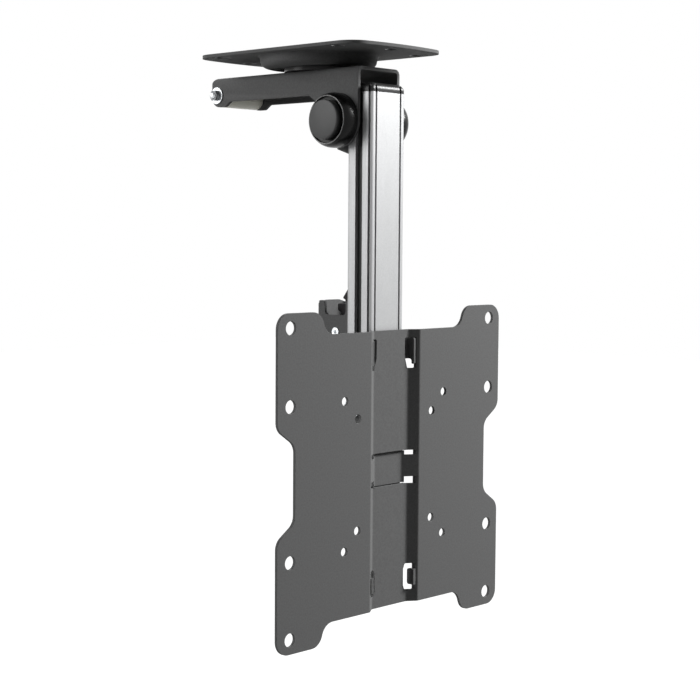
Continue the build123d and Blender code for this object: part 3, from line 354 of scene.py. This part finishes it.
def seat(piece, body, finish):
    """The piece rides on a body and gets its finish."""
    piece.data.materials.clear()
    piece.data.materials.append(finish)
    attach(piece, body)


# Finishes

def new_finish(name):
    material = bpy.data.materials.new(name)
    material.use_nodes = True
    nodes = material.node_tree.nodes
    return material, nodes, material.node_tree.links, nodes["Principled BSDF"]


def object_noise(nodes, links, scale, detail=2.0, stretch=(1, 1, 1)):
    """Noise in the piece's own space; the scale is cycles to a metre."""
    place = nodes.new("ShaderNodeTexCoord")
    mapping = nodes.new("ShaderNodeMapping")
    mapping.inputs["Scale"].default_value = stretch
    noise = nodes.new("ShaderNodeTexNoise")
    noise.inputs["Scale"].default_value = scale
    noise.inputs["Detail"].default_value = detail
    links.new(place.outputs["Object"], mapping.inputs["Vector"])
    links.new(mapping.outputs["Vector"], noise.inputs["Vector"])
    return noise


def spread(nodes, links, source, low, high, start=0.3, end=0.7):
    """Maps a noise to a range."""
    span = nodes.new("ShaderNodeMapRange")
    span.inputs["From Min"].default_value = start
    span.inputs["From Max"].default_value = end
    span.inputs["To Min"].default_value = low
    span.inputs["To Max"].default_value = high
    links.new(source, span.inputs["Value"])
    return span.outputs["Result"]


def two_tones(nodes, links, source, dark, light, start=0.3, end=0.7):
    """Colour that wanders between two tones with a noise."""
    ramp = nodes.new("ShaderNodeValToRGB")
    ramp.color_ramp.elements[0].position = start
    ramp.color_ramp.elements[0].color = (*dark, 1)
    ramp.color_ramp.elements[1].position = end
    ramp.color_ramp.elements[1].color = (*light, 1)
    links.new(source, ramp.inputs["Fac"])
    return ramp.outputs["Color"]


def relief(nodes, links, shader, source, height, strength=1.0, edge=0.25):
    """Bump of a height in millimetres, over edges that look rounded to a radius."""
    rounded = nodes.new("ShaderNodeBevel")
    rounded.samples = 6
    rounded.inputs["Radius"].default_value = edge * MM
    bump = nodes.new("ShaderNodeBump")
    links.new(rounded.outputs["Normal"], bump.inputs["Normal"])
    bump.inputs["Distance"].default_value = height * MM
    bump.inputs["Strength"].default_value = strength
    links.new(source, bump.inputs["Height"])
    links.new(bump.outputs["Normal"], shader.inputs["Normal"])


def powder_coat(name, dark, light, gloss=0.66):
    """Baked black powder: fine orange peel with a slight cloud of tone."""
    material, nodes, links, shader = new_finish(name)
    cloud = object_noise(nodes, links, 900, 4)
    peel = object_noise(nodes, links, 1500, 3)
    grain = object_noise(nodes, links, 4200, 1)
    skin = two_tones(nodes, links, cloud.outputs["Fac"], dark, light)
    links.new(skin, shader.inputs["Base Color"])
    links.new(spread(nodes, links, grain.outputs["Fac"], gloss - 0.05, gloss + 0.07),
              shader.inputs["Roughness"])
    shader.inputs["Specular IOR Level"].default_value = 0.06
    relief(nodes, links, shader, peel.outputs["Fac"], 0.02, 0.6)
    return material


def near(nodes, links, value, centre, reach):
    """One where a value lies within a reach of a centre, in metres."""
    test = nodes.new("ShaderNodeMath")
    test.operation = "COMPARE"
    test.inputs[1].default_value = centre
    test.inputs[2].default_value = reach
    links.new(value, test.inputs[0])
    return test.outputs["Value"]


def both(nodes, links, first, second, how="MULTIPLY"):
    """Two masks together, or the larger of them."""
    blend = nodes.new("ShaderNodeMath")
    blend.operation = how
    links.new(first, blend.inputs[0])
    links.new(second, blend.inputs[1])
    return blend.outputs["Value"]


def satin_aluminium():
    """Anodised extrusion: fine blasted grain, faint drawn lines, grooves painted dark as shade."""
    material, nodes, links, shader = new_finish("satin aluminium")
    drawn = object_noise(nodes, links, 1400, 3, (1, 1, 0.02))
    sparkle = object_noise(nodes, links, 3200, 2)
    dark, light = (0.37, 0.374, 0.378), (0.49, 0.494, 0.498)
    skin = two_tones(nodes, links, sparkle.outputs["Fac"], dark, light)
    place = nodes.new("ShaderNodeTexCoord")
    split = nodes.new("ShaderNodeSeparateXYZ")
    links.new(place.outputs["Object"], split.inputs["Vector"])
    across = nodes.new("ShaderNodeMath")
    across.operation = "ABSOLUTE"
    links.new(split.outputs["X"], across.inputs[0])
    # Masks of the front and side grooves, which are coloured near black: painted shade in the grooves.
    front = both(nodes, links, near(nodes, links, across.outputs["Value"], 0.0121, 0.00079),
                 near(nodes, links, split.outputs["Y"], -0.0655, 0.0008))
    side = both(nodes, links, near(nodes, links, across.outputs["Value"], 0.0161, 0.0008),
                near(nodes, links, split.outputs["Y"], -0.0645, 0.00079))
    groove_painted_shade = both(nodes, links, front, side, "MAXIMUM")
    colour = nodes.new("ShaderNodeMix")
    colour.data_type = "RGBA"
    links.new(groove_painted_shade, colour.inputs[0])
    links.new(skin, colour.inputs[6])
    # Near black in the grooves: painted shade.
    colour.inputs[7].default_value = (0.03, 0.03, 0.03, 1)
    links.new(colour.outputs[2], shader.inputs["Base Color"])
    shader.inputs["Metallic"].default_value = 0.55
    links.new(spread(nodes, links, drawn.outputs["Fac"], 0.42, 0.56), shader.inputs["Roughness"])
    relief(nodes, links, shader, sparkle.outputs["Fac"], 0.008, 0.5)
    return material


def moulded_plastic(name, dark, light, gloss=0.42, mirror=0.5):
    """Moulded nylon with a fine spark-eroded texture."""
    material, nodes, links, shader = new_finish(name)
    cloud = object_noise(nodes, links, 90, 2)
    erosion = object_noise(nodes, links, 2600, 3)
    skin = two_tones(nodes, links, cloud.outputs["Fac"], dark, light)
    links.new(skin, shader.inputs["Base Color"])
    links.new(spread(nodes, links, erosion.outputs["Fac"], gloss - 0.04, gloss + 0.08),
              shader.inputs["Roughness"])
    shader.inputs["Specular IOR Level"].default_value = mirror
    relief(nodes, links, shader, erosion.outputs["Fac"], 0.012, 0.5)
    return material


def zinc_plate(name, dark, light, gloss=0.28):
    """Bright zinc plating with a faint cloud."""
    material, nodes, links, shader = new_finish(name)
    cloud = object_noise(nodes, links, 420, 3)
    scratch = object_noise(nodes, links, 2400, 2)
    skin = two_tones(nodes, links, cloud.outputs["Fac"], dark, light)
    links.new(skin, shader.inputs["Base Color"])
    shader.inputs["Metallic"].default_value = 1.0
    links.new(spread(nodes, links, scratch.outputs["Fac"], gloss - 0.06, gloss + 0.1),
              shader.inputs["Roughness"])
    relief(nodes, links, shader, scratch.outputs["Fac"], 0.004, 0.4)
    return material


# The black coat's base colour is raised to a mid grey and its mirror level is kept low: painted sheen,
# standing in for the bright surroundings the coat reflects.
COAT = powder_coat("black powder coat with painted sheen", (0.146, 0.147, 0.147), (0.176, 0.177, 0.177))
LEVER_COAT = powder_coat("dark grey coat", (0.052, 0.049, 0.051), (0.066, 0.062, 0.064))
ALUMINIUM = satin_aluminium()
PLASTIC = moulded_plastic("black moulded nylon", (0.024, 0.024, 0.024), (0.034, 0.034, 0.034),
                          0.3, 0.2)
# The covers' nylon is darker than the black nylon of the other plastic parts: painted shade.
SHADED_COVER_NYLON = moulded_plastic("black nylon darkened as painted shade", (0.004, 0.004, 0.004), (0.006, 0.006, 0.006),
                              0.24, 0.14)
# Light grey for the covers' rim: a painted highlight.
RIM_HIGHLIGHT_NYLON = moulded_plastic("painted highlight on the cover's rim", (0.22, 0.22, 0.22), (0.30, 0.30, 0.30), 0.25)
# The caps' nylon is lighter than the black nylon of the other plastic parts: painted highlight.
LIT_CAP_NYLON = moulded_plastic("black nylon lightened as painted highlight", (0.052, 0.053, 0.053), (0.062, 0.063, 0.063),
                            0.4, 0.3)
CREAM = moulded_plastic("cream nylon", (0.93, 0.92, 0.78), (0.97, 0.96, 0.84), 0.35)
GREY_NYLON = moulded_plastic("grey nylon", (0.19, 0.19, 0.19), (0.25, 0.25, 0.25))
ZINC = zinc_plate("zinc plate", (0.62, 0.64, 0.66), (0.78, 0.8, 0.81))
DARK_ZINC = zinc_plate("black zinc", (0.10, 0.105, 0.11), (0.18, 0.185, 0.19), 0.3)
WIRE = zinc_plate("spring wire", (0.3, 0.3, 0.31), (0.42, 0.42, 0.43), 0.35)

FINISH_OF_SLOT = {
    "black_steel": COAT,
    "hook_steel": LEVER_COAT,
    "satin_aluminium": ALUMINIUM,
    "black_plastic": PLASTIC,
    "cream_plastic": CREAM,
    "grey_nylon": GREY_NYLON,
    "zinc_steel": ZINC,
    "spring_steel": WIRE,
}


def dress_nodes():
    """Every carried-over node gets the finish of its slot."""
    for row in frame["record"]["subparts"]:
        node = frame["nodes"][row["node"]]
        node.data.materials.clear()
        node.data.materials.append(FINISH_OF_SLOT[row["material_slot"]])
        take(node)
        bpy.ops.object.shade_smooth_by_angle(angle=math.radians(32))


dress_nodes()


# Sizes of the part in millimetres
ARM_SIDE_FACE = 20.8
ARM_INNER_FACE = 18.4
ARM_TOP = -13.5
ARM_SHEET = 2.4
HINGE_LOBE = 18.1
SCREEN_MIDDLE = -285.5
SCREEN_EDGE = 111.5

# Centres of the bolts in metres
HINGE_CENTRE = (0, -0.03945, -0.04935)
CATCH_CENTRE = (0, 0.0825, -0.0262)
TILT_CENTRE = (0, -0.05535, -0.2435)
SWIVEL_CENTRE = (0, 0, 0)


def make_top_arm():
    """Channel folded from one sheet: square-cut ends, round bends, lobes at both bolts."""
    reach, edge, catch_lobe = 88.3, -31.0, -34.5
    hinge_y, hinge_z = HINGE_CENTRE[1] / MM, HINGE_CENTRE[2] / MM
    front, low = hinge_y - HINGE_LOBE, hinge_z - HINGE_LOBE
    neck = hinge_y + HINGE_LOBE
    neck_top, slope = -11.2, math.tan(math.radians(34))
    spare = 0.05
    side = [
        (front, ARM_TOP + spare, 0),
        (reach, ARM_TOP + spare, 4.5),
        (reach, catch_lobe, 7.5),
        (74.4, catch_lobe, 3.0),
        (69.1, edge, 1.5),
        (neck_top, edge, 2.0),
        (neck, edge + (neck - neck_top) * slope, 4.0),
        (neck, low, HINGE_LOBE),
        (front, low, HINGE_LOBE),
    ]
    past = ARM_SIDE_FACE + 1.2
    arm = prism("top_arm_folded", rounded_outline(side, 16), -past, past, "X")
    outer, inner, below = ARM_SIDE_FACE, ARM_INNER_FACE, -90
    outer_bend, inner_bend = 4.2, 1.8
    section = [
        (-outer, below, 0),
        (-outer, ARM_TOP, outer_bend),
        (outer, ARM_TOP, outer_bend),
        (outer, below, 0),
        (inner, below, 0),
        (inner, ARM_TOP - ARM_SHEET, inner_bend),
        (-inner, ARM_TOP - ARM_SHEET, inner_bend),
        (-inner, below, 0),
    ]
    channel = prism("channel_section", rounded_outline(section, 10), -60, 92, "Y")
    arm = combine(arm, channel, "INTERSECT")
    arm = drilled(arm, 4.05, -past, past, HINGE_CENTRE, "X")
    arm = drilled(arm, 2.05, -past, past, CATCH_CENTRE, "X")
    arm = drilled(arm, 5.05, -17, -12, SWIVEL_CENTRE, "Z")
    soften(arm, 0.22 * MM, 2, 40)
    shade(arm, 30)
    seat(arm, "arm", COAT)
    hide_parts("top_arm")


def shoulder_line(edge, waist, middle, turn, radius):
    """Edge from a lobe of the screen plate down to its waist: two arcs and a flat between them.

    It runs from the lobe's straight side to the waist's, in millimetres from the plate's middle.
    """
    drop = radius * (1 - math.cos(turn))
    flat = (edge - waist - 2 * drop) / math.sin(turn)
    rise = radius * math.sin(turn) + flat * math.cos(turn) / 2
    steps = 24
    upper = []
    for step in range(steps + 1):
        part = turn * step / steps
        out = edge - radius * (1 - math.cos(part))
        upper.append(Vector((out, middle + rise - radius * math.sin(part))))
    lower = [Vector((edge + waist - point.x, 2 * middle - point.y)) for point in reversed(upper)]
    return upper + lower


def along(line):
    """Share of a line's length at each of its points."""
    shares = [0.0]
    for first, second in zip(line, line[1:]):
        shares.append(shares[-1] + (second - first).length)
    return [share / shares[-1] for share in shares]


def place_on(line, share):
    """Place at a share of a line's length."""
    shares = along(line)
    for i in range(len(line) - 1):
        if share <= shares[i + 1] or i == len(line) - 2:
            part = (share - shares[i]) / max(shares[i + 1] - shares[i], 1e-9)
            return line[i].lerp(line[i + 1], min(max(part, 0), 1))


def share_on(line, point, reach=0.25):
    """Share of the line's length beside a point, or nothing where the point is off the line."""
    shares = along(line)
    best, nearest = None, reach
    for i in range(len(line) - 1):
        step = line[i + 1] - line[i]
        if step.length < 1e-6:
            continue
        part = min(max((point - line[i]).dot(step) / step.length_squared, 0), 1)
        away = (point - line[i] - step * part).length
        if away < nearest:
            best, nearest = shares[i] + (shares[i + 1] - shares[i]) * part, away
    return best


def make_screen_plate():
    """The pressed sheet, with the long sloping shoulders of its waist."""
    node = frame["nodes"]["screen_plate"]
    plate = node.copy()
    plate.data = node.data.copy()
    if "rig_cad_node" in plate:
        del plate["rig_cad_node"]
    bpy.context.scene.collection.objects.link(plate)
    plate.name = "screen_plate_pressed"
    open_mesh(plate)
    bpy.ops.mesh.remove_doubles(threshold=0.00001)
    bpy.ops.mesh.dissolve_limited(angle_limit=math.radians(0.4))
    close_mesh()
    solid_line = shoulder_line(SCREEN_EDGE, 94.0, 29.3, math.radians(89.9), 8.6)
    seen_line = shoulder_line(SCREEN_EDGE, 95.7, 30.4, math.radians(56), 9.4)
    for vertex in plate.data.vertices:
        side = 1 if vertex.co.x > 0 else -1
        height = vertex.co.z / MM - SCREEN_MIDDLE
        level = 1 if height > 0 else -1
        share = share_on(solid_line, Vector((abs(vertex.co.x) / MM, abs(height))))
        if share is not None:
            place = place_on(seen_line, share)
            vertex.co.x = side * place.x * MM
            vertex.co.z = (SCREEN_MIDDLE + level * place.y) * MM
    take(plate)
    bpy.ops.mesh.customdata_custom_splitnormals_clear()
    shade(plate, 32)
    bpy.ops.object.modifier_add(type="WEIGHTED_NORMAL")
    plate.modifiers[-1].weight = 100
    plate.modifiers[-1].keep_sharp = True
    apply_all(plate)
    seat(plate, "screen", COAT)
    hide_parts("screen_plate")


def make_hinge_covers():
    """Round covers: two fine grooves at the foot, a drum drawn in to a thin rim whose faces carry a
    painted highlight.
    """
    foot = ARM_SIDE_FACE
    stations = [
        (foot, 18.3), (foot + 0.2, 18.55), (foot + 0.9, 18.6), (foot + 1.0, 18.3),
        (foot + 1.3, 18.3), (foot + 1.4, 18.6), (foot + 2.0, 18.6), (foot + 2.1, 18.3), (foot + 2.4, 18.3),
        (foot + 2.5, 18.6), (foot + 4.0, 18.6), (foot + 5.6, 18.52), (foot + 7.0, 18.34),
        (foot + 8.2, 18.06), (foot + 9.2, 17.72), (foot + 10.0, 17.34), (foot + 10.7, 16.9),
        (foot + 11.1, 16.6), (foot + 11.3, 16.5), (foot + 11.6, 16.46), (foot + 11.82, 16.3),
        (foot + 11.9, 16.05), (foot + 11.82, 15.8), (foot + 11.6, 15.64), (foot + 11.3, 15.6),
        (foot + 10.2, 15.6), (foot + 9.95, 15.5), (foot + 9.9, 15.3), (foot + 9.9, 12.3),
        (foot + 6.7, 12.3), (foot + 1.2, 16.0), (foot + 1.2, 4.05), (foot, 4.05),
    ]
    right = turned("hinge_cover_right_shell", stations, HINGE_CENTRE, around=128, closed=True)
    shade(right, 28)
    rim = (foot + 11.45) * MM
    left = mirrored_by_turn(right, "hinge_cover_left_shell", HINGE_CENTRE)
    shade(left, 28)
    for piece, node in ((right, "hinge_cover_right"), (left, "hinge_cover_left")):
        seat(piece, "arm", SHADED_COVER_NYLON)
        # The rim's faces get a light grey finish: a painted highlight on the rim.
        piece.data.materials.append(RIM_HIGHLIGHT_NYLON)
        for face in piece.data.polygons:
            if abs(face.center.x) > rim:
                face.material_index = 1
        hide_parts(node)


def make_hinge_caps():
    """Caps: a hollow button with a rounded edge and a low dome, standing out of the cover."""
    foot = ARM_SIDE_FACE
    stations = [
        (foot + 13.5, 0.4), (foot + 13.5, 10.65), (foot + 7.0, 10.65), (foot + 7.0, 12.25),
        (foot + 9.9, 12.25), (foot + 9.92, 12.9), (foot + 10.1, 13.18), (foot + 10.4, 13.3),
        (foot + 14.3, 13.3), (foot + 14.65, 13.25), (foot + 14.9, 13.08), (foot + 15.06, 12.8),
        (foot + 15.14, 12.4),
    ]
    top = foot + 15.9
    for radius in (11.5, 10.2, 8.8, 7.2, 5.6, 4.0, 2.4, 1.0, 0.3):
        stations.append((top - 0.76 * (radius / 12.4) ** 2, radius))
    right = turned("hinge_cap_right_button", stations, HINGE_CENTRE, around=112)
    shade(right, 28)
    left = mirrored_by_turn(right, "hinge_cap_left_button", HINGE_CENTRE)
    shade(left, 28)
    for piece, node in ((right, "hinge_cap_right"), (left, "hinge_cap_left")):
        seat(piece, "arm", LIT_CAP_NYLON)
        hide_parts(node)


def washer(name, outer, bore, start, end, centre, axis="X"):
    """Punched washer with worn edges."""
    edge = 0.18
    piece = turned(
        name,
        [
            (start, bore), (start, outer - edge), (start + edge, outer), (end - edge, outer),
            (end, outer - edge), (end, bore + edge), (end - edge, bore),
        ],
        centre,
        axis,
        80,
        closed=True,
    )
    shade(piece, 30)
    return piece


def make_catch():
    """Cross bolt at the arm's far end with its washers, nut and long pale roller."""
    face = ARM_SIDE_FACE
    head = hexagon("catch_bolt_set", 7.0, face + 1.2, face + 4.0, CATCH_CENTRE)
    stations = [(-face - 1.0, 1.99), (face + 1.3, 1.99)]
    shank = turned("catch_shank", stations, CATCH_CENTRE, around=40)
    point = threaded_end("catch_point", 2.0, 0.7, -face - 0.9, -face - 6.4, CATCH_CENTRE)
    bolt = joined(head, shank, point)
    shade(bolt, 34)
    seat(bolt, "arm", ZINC)
    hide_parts("catch_bolt")

    nut = hexagon("catch_nut_cut", 7.0, -face - 4.4, -face - 1.2, CATCH_CENTRE)
    nut = bored(nut, 2.02, -face - 4.4, -face - 1.2, CATCH_CENTRE)
    shade(nut, 30)
    seat(nut, "arm", DARK_ZINC)
    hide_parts("catch_nut")

    right = washer("catch_washer_pair", 6.0, 2.05, face, face + 1.2, CATCH_CENTRE)
    left = washer("catch_washer_left", 6.0, 2.05, -face - 1.2, -face, CATCH_CENTRE)
    pair = joined(right, left)
    seat(pair, "arm", ZINC)
    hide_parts("catch_washers")

    end = 18.3
    roller = turned(
        "catch_roller_turned",
        [
            (-end, 2.1), (-end, 6.9), (-end + 0.15, 7.4), (-end + 0.6, 7.85), (-end + 1.1, 8.0),
            (-end + 2.4, 8.0), (-end + 2.6, 7.75), (-end + 3.2, 7.75), (-end + 3.4, 8.0),
            (end - 3.4, 8.0), (end - 3.2, 7.75), (end - 2.6, 7.75), (end - 2.4, 8.0),
            (end - 1.1, 8.0), (end - 0.6, 7.85), (end - 0.15, 7.4), (end, 6.9), (end, 2.1),
        ],
        CATCH_CENTRE,
        around=96,
        closed=True,
    )
    shade(roller, 30)
    seat(roller, "arm", CREAM)
    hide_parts("catch_roller")


def make_hinge_bolt():
    """Fold bolt with its nut and washers, inside the covers."""
    face = ARM_SIDE_FACE
    head = hexagon("hinge_bolt_set", 13.0, -face - 8.1, -face - 2.8, HINGE_CENTRE)
    stations = [(-face - 2.9, 3.99), (face + 1.5, 3.99)]
    shank = turned("hinge_shank", stations, HINGE_CENTRE, around=48)
    point = threaded_end("hinge_point", 4.0, 1.25, face + 1.4, face + 9.4, HINGE_CENTRE)
    bolt = joined(head, shank, point)
    shade(bolt, 34)
    seat(bolt, "arm", ZINC)
    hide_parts("hinge_bolt")
    nut = hexagon("hinge_nut_cut", 13.0, face + 2.8, face + 9.3, HINGE_CENTRE)
    nut = bored(nut, 4.02, face + 2.8, face + 9.3, HINGE_CENTRE)
    shade(nut, 30)
    seat(nut, "arm", ZINC)
    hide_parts("hinge_nut")
    right = washer("hinge_washer_pair", 11.0, 4.05, face + 1.2, face + 2.8, HINGE_CENTRE)
    left = washer("hinge_washer_left", 11.0, 4.05, -face - 2.8, -face - 1.2, HINGE_CENTRE)
    pair = joined(right, left)
    seat(pair, "arm", ZINC)
    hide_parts("hinge_washers")


def make_tilt_bolt():
    """Pivot bolt of the screen's bracket with its nut and washers."""
    cheek = 20.4
    head = hexagon("tilt_bolt_set", 10.0, -cheek - 5.2, -cheek - 1.2, TILT_CENTRE)
    stations = [(-cheek - 1.3, 2.99), (cheek + 1.0, 2.99)]
    shank = turned("tilt_shank", stations, TILT_CENTRE, around=40)
    point = threaded_end("tilt_point", 3.0, 1.0, cheek + 0.9, cheek + 7.8, TILT_CENTRE)
    bolt = joined(head, shank, point)
    shade(bolt, 34)
    seat(bolt, "screen", ZINC)
    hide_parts("tilt_bolt")
    nut = hexagon("tilt_nut_cut", 10.0, cheek + 1.2, cheek + 6.2, TILT_CENTRE)
    nut = bored(nut, 3.02, cheek + 1.2, cheek + 6.2, TILT_CENTRE)
    shade(nut, 30)
    seat(nut, "screen", ZINC)
    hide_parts("tilt_nut")
    right = washer("tilt_washer_pair", 6.25, 3.05, cheek, cheek + 1.2, TILT_CENTRE)
    left = washer("tilt_washer_left", 6.25, 3.05, -cheek - 1.2, -cheek, TILT_CENTRE)
    pair = joined(right, left)
    seat(pair, "screen", ZINC)
    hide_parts("tilt_washers")


def make_swivel():
    """Swivel bolt down through the dome, its washers and nut."""
    head = hexagon("swivel_bolt_set", 16.0, -6.8, -0.4, SWIVEL_CENTRE, "Z")
    shank = turned("swivel_shank", [(-16.5, 4.99), (-6.7, 4.99)], SWIVEL_CENTRE, "Z", 48)
    point = threaded_end("swivel_point", 5.0, 1.5, -16.4, -27.5, SWIVEL_CENTRE, "Z")
    bolt = joined(head, shank, point)
    shade(bolt, 34)
    seat(bolt, "ceiling", ZINC)
    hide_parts("swivel_bolt")
    nut = hexagon("swivel_nut_cut", 16.0, -25.9, -17.5, SWIVEL_CENTRE, "Z")
    nut = bored(nut, 5.02, -25.9, -17.5, SWIVEL_CENTRE, "Z")
    shade(nut, 30)
    seat(nut, "ceiling", ZINC)
    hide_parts("swivel_nut")
    upper = washer("swivel_head_washer_cut", 11.0, 5.05, -8.3, -6.8, SWIVEL_CENTRE, "Z")
    seat(upper, "ceiling", ZINC)
    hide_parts("swivel_head_washer")
    lower = washer("swivel_nut_washer_cut", 11.0, 5.05, -17.5, -16.0, SWIVEL_CENTRE, "Z")
    seat(lower, "ceiling", ZINC)
    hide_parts("swivel_nut_washer")


make_top_arm()
make_screen_plate()
make_hinge_covers()
make_hinge_caps()
make_catch()
make_hinge_bolt()
make_tilt_bolt()
make_swivel()


# Studio

def make_camera():
    bpy.ops.object.camera_add(location=CAMERA_PLACE)
    camera = bpy.context.active_object
    forward = Vector(CAMERA_FORWARD).normalized()
    side = forward.cross(Vector(CAMERA_UP)).normalized()
    up = side.cross(forward)
    camera.rotation_euler = Matrix((side, up, -forward)).transposed().to_euler()
    camera.data.lens = CAMERA_LENS
    camera.data.clip_start = 0.05
    bpy.context.scene.camera = camera


def white_for_camera(nodes, links, strength):
    """A value of one for camera, mirror and glass rays, and a strength for the light itself."""
    path = nodes.new("ShaderNodeLightPath")
    seen = nodes.new("ShaderNodeMath")
    seen.operation = "MAXIMUM"
    links.new(path.outputs["Is Camera Ray"], seen.inputs[0])
    links.new(path.outputs["Is Glossy Ray"], seen.inputs[1])
    clear = nodes.new("ShaderNodeMath")
    clear.operation = "MAXIMUM"
    links.new(seen.outputs["Value"], clear.inputs[0])
    links.new(path.outputs["Is Transmission Ray"], clear.inputs[1])
    span = nodes.new("ShaderNodeMapRange")
    span.inputs["To Min"].default_value = strength
    span.inputs["To Max"].default_value = 1.0
    links.new(clear.outputs["Value"], span.inputs["Value"])
    return span.outputs["Result"]


def make_world():
    world = bpy.data.worlds.new("studio")
    world.use_nodes = True
    bpy.context.scene.world = world
    nodes, links = world.node_tree.nodes, world.node_tree.links
    background = nodes["Background"]
    background.inputs["Color"].default_value = (1, 1, 1, 1)
    links.new(white_for_camera(nodes, links, 0.02), background.inputs["Strength"])


def make_floor():
    low = solid_low.z - FLOOR_BELOW
    bpy.ops.mesh.primitive_plane_add(size=12, location=(0, 0, low))
    floor = bpy.context.active_object
    floor.name = "studio_floor"
    material, nodes, links, shader = new_finish("pale floor")
    shader.inputs["Base Color"].default_value = (0.16, 0.16, 0.16, 1)
    shader.inputs["Roughness"].default_value = 0.9
    shader.inputs["Emission Color"].default_value = (1, 1, 1, 1)
    links.new(white_for_camera(nodes, links, 0.0), shader.inputs["Emission Strength"])
    floor.data.materials.append(material)


def soft_box(place, target, size, power):
    bpy.ops.object.light_add(type="AREA", location=place)
    lamp = bpy.context.active_object
    lamp.rotation_euler = (Vector(target) - Vector(place)).to_track_quat("-Z", "Y").to_euler()
    lamp.data.shape = "RECTANGLE"
    lamp.data.size, lamp.data.size_y = size
    lamp.data.energy = power


make_camera()
make_world()
make_floor()
MIDDLE = (0, -0.03, -0.2)
soft_box((0.95, -0.72, 0.52), (0, -0.05, -0.12), (0.42, 0.4), 30)
soft_box((-1.2, 0.75, 0.35), MIDDLE, (0.8, 1.0), 12)
soft_box((0.5, 1.3, 0.5), MIDDLE, (1.0, 0.9), 5)

view = bpy.context.scene.view_settings
view.view_transform = "Standard"
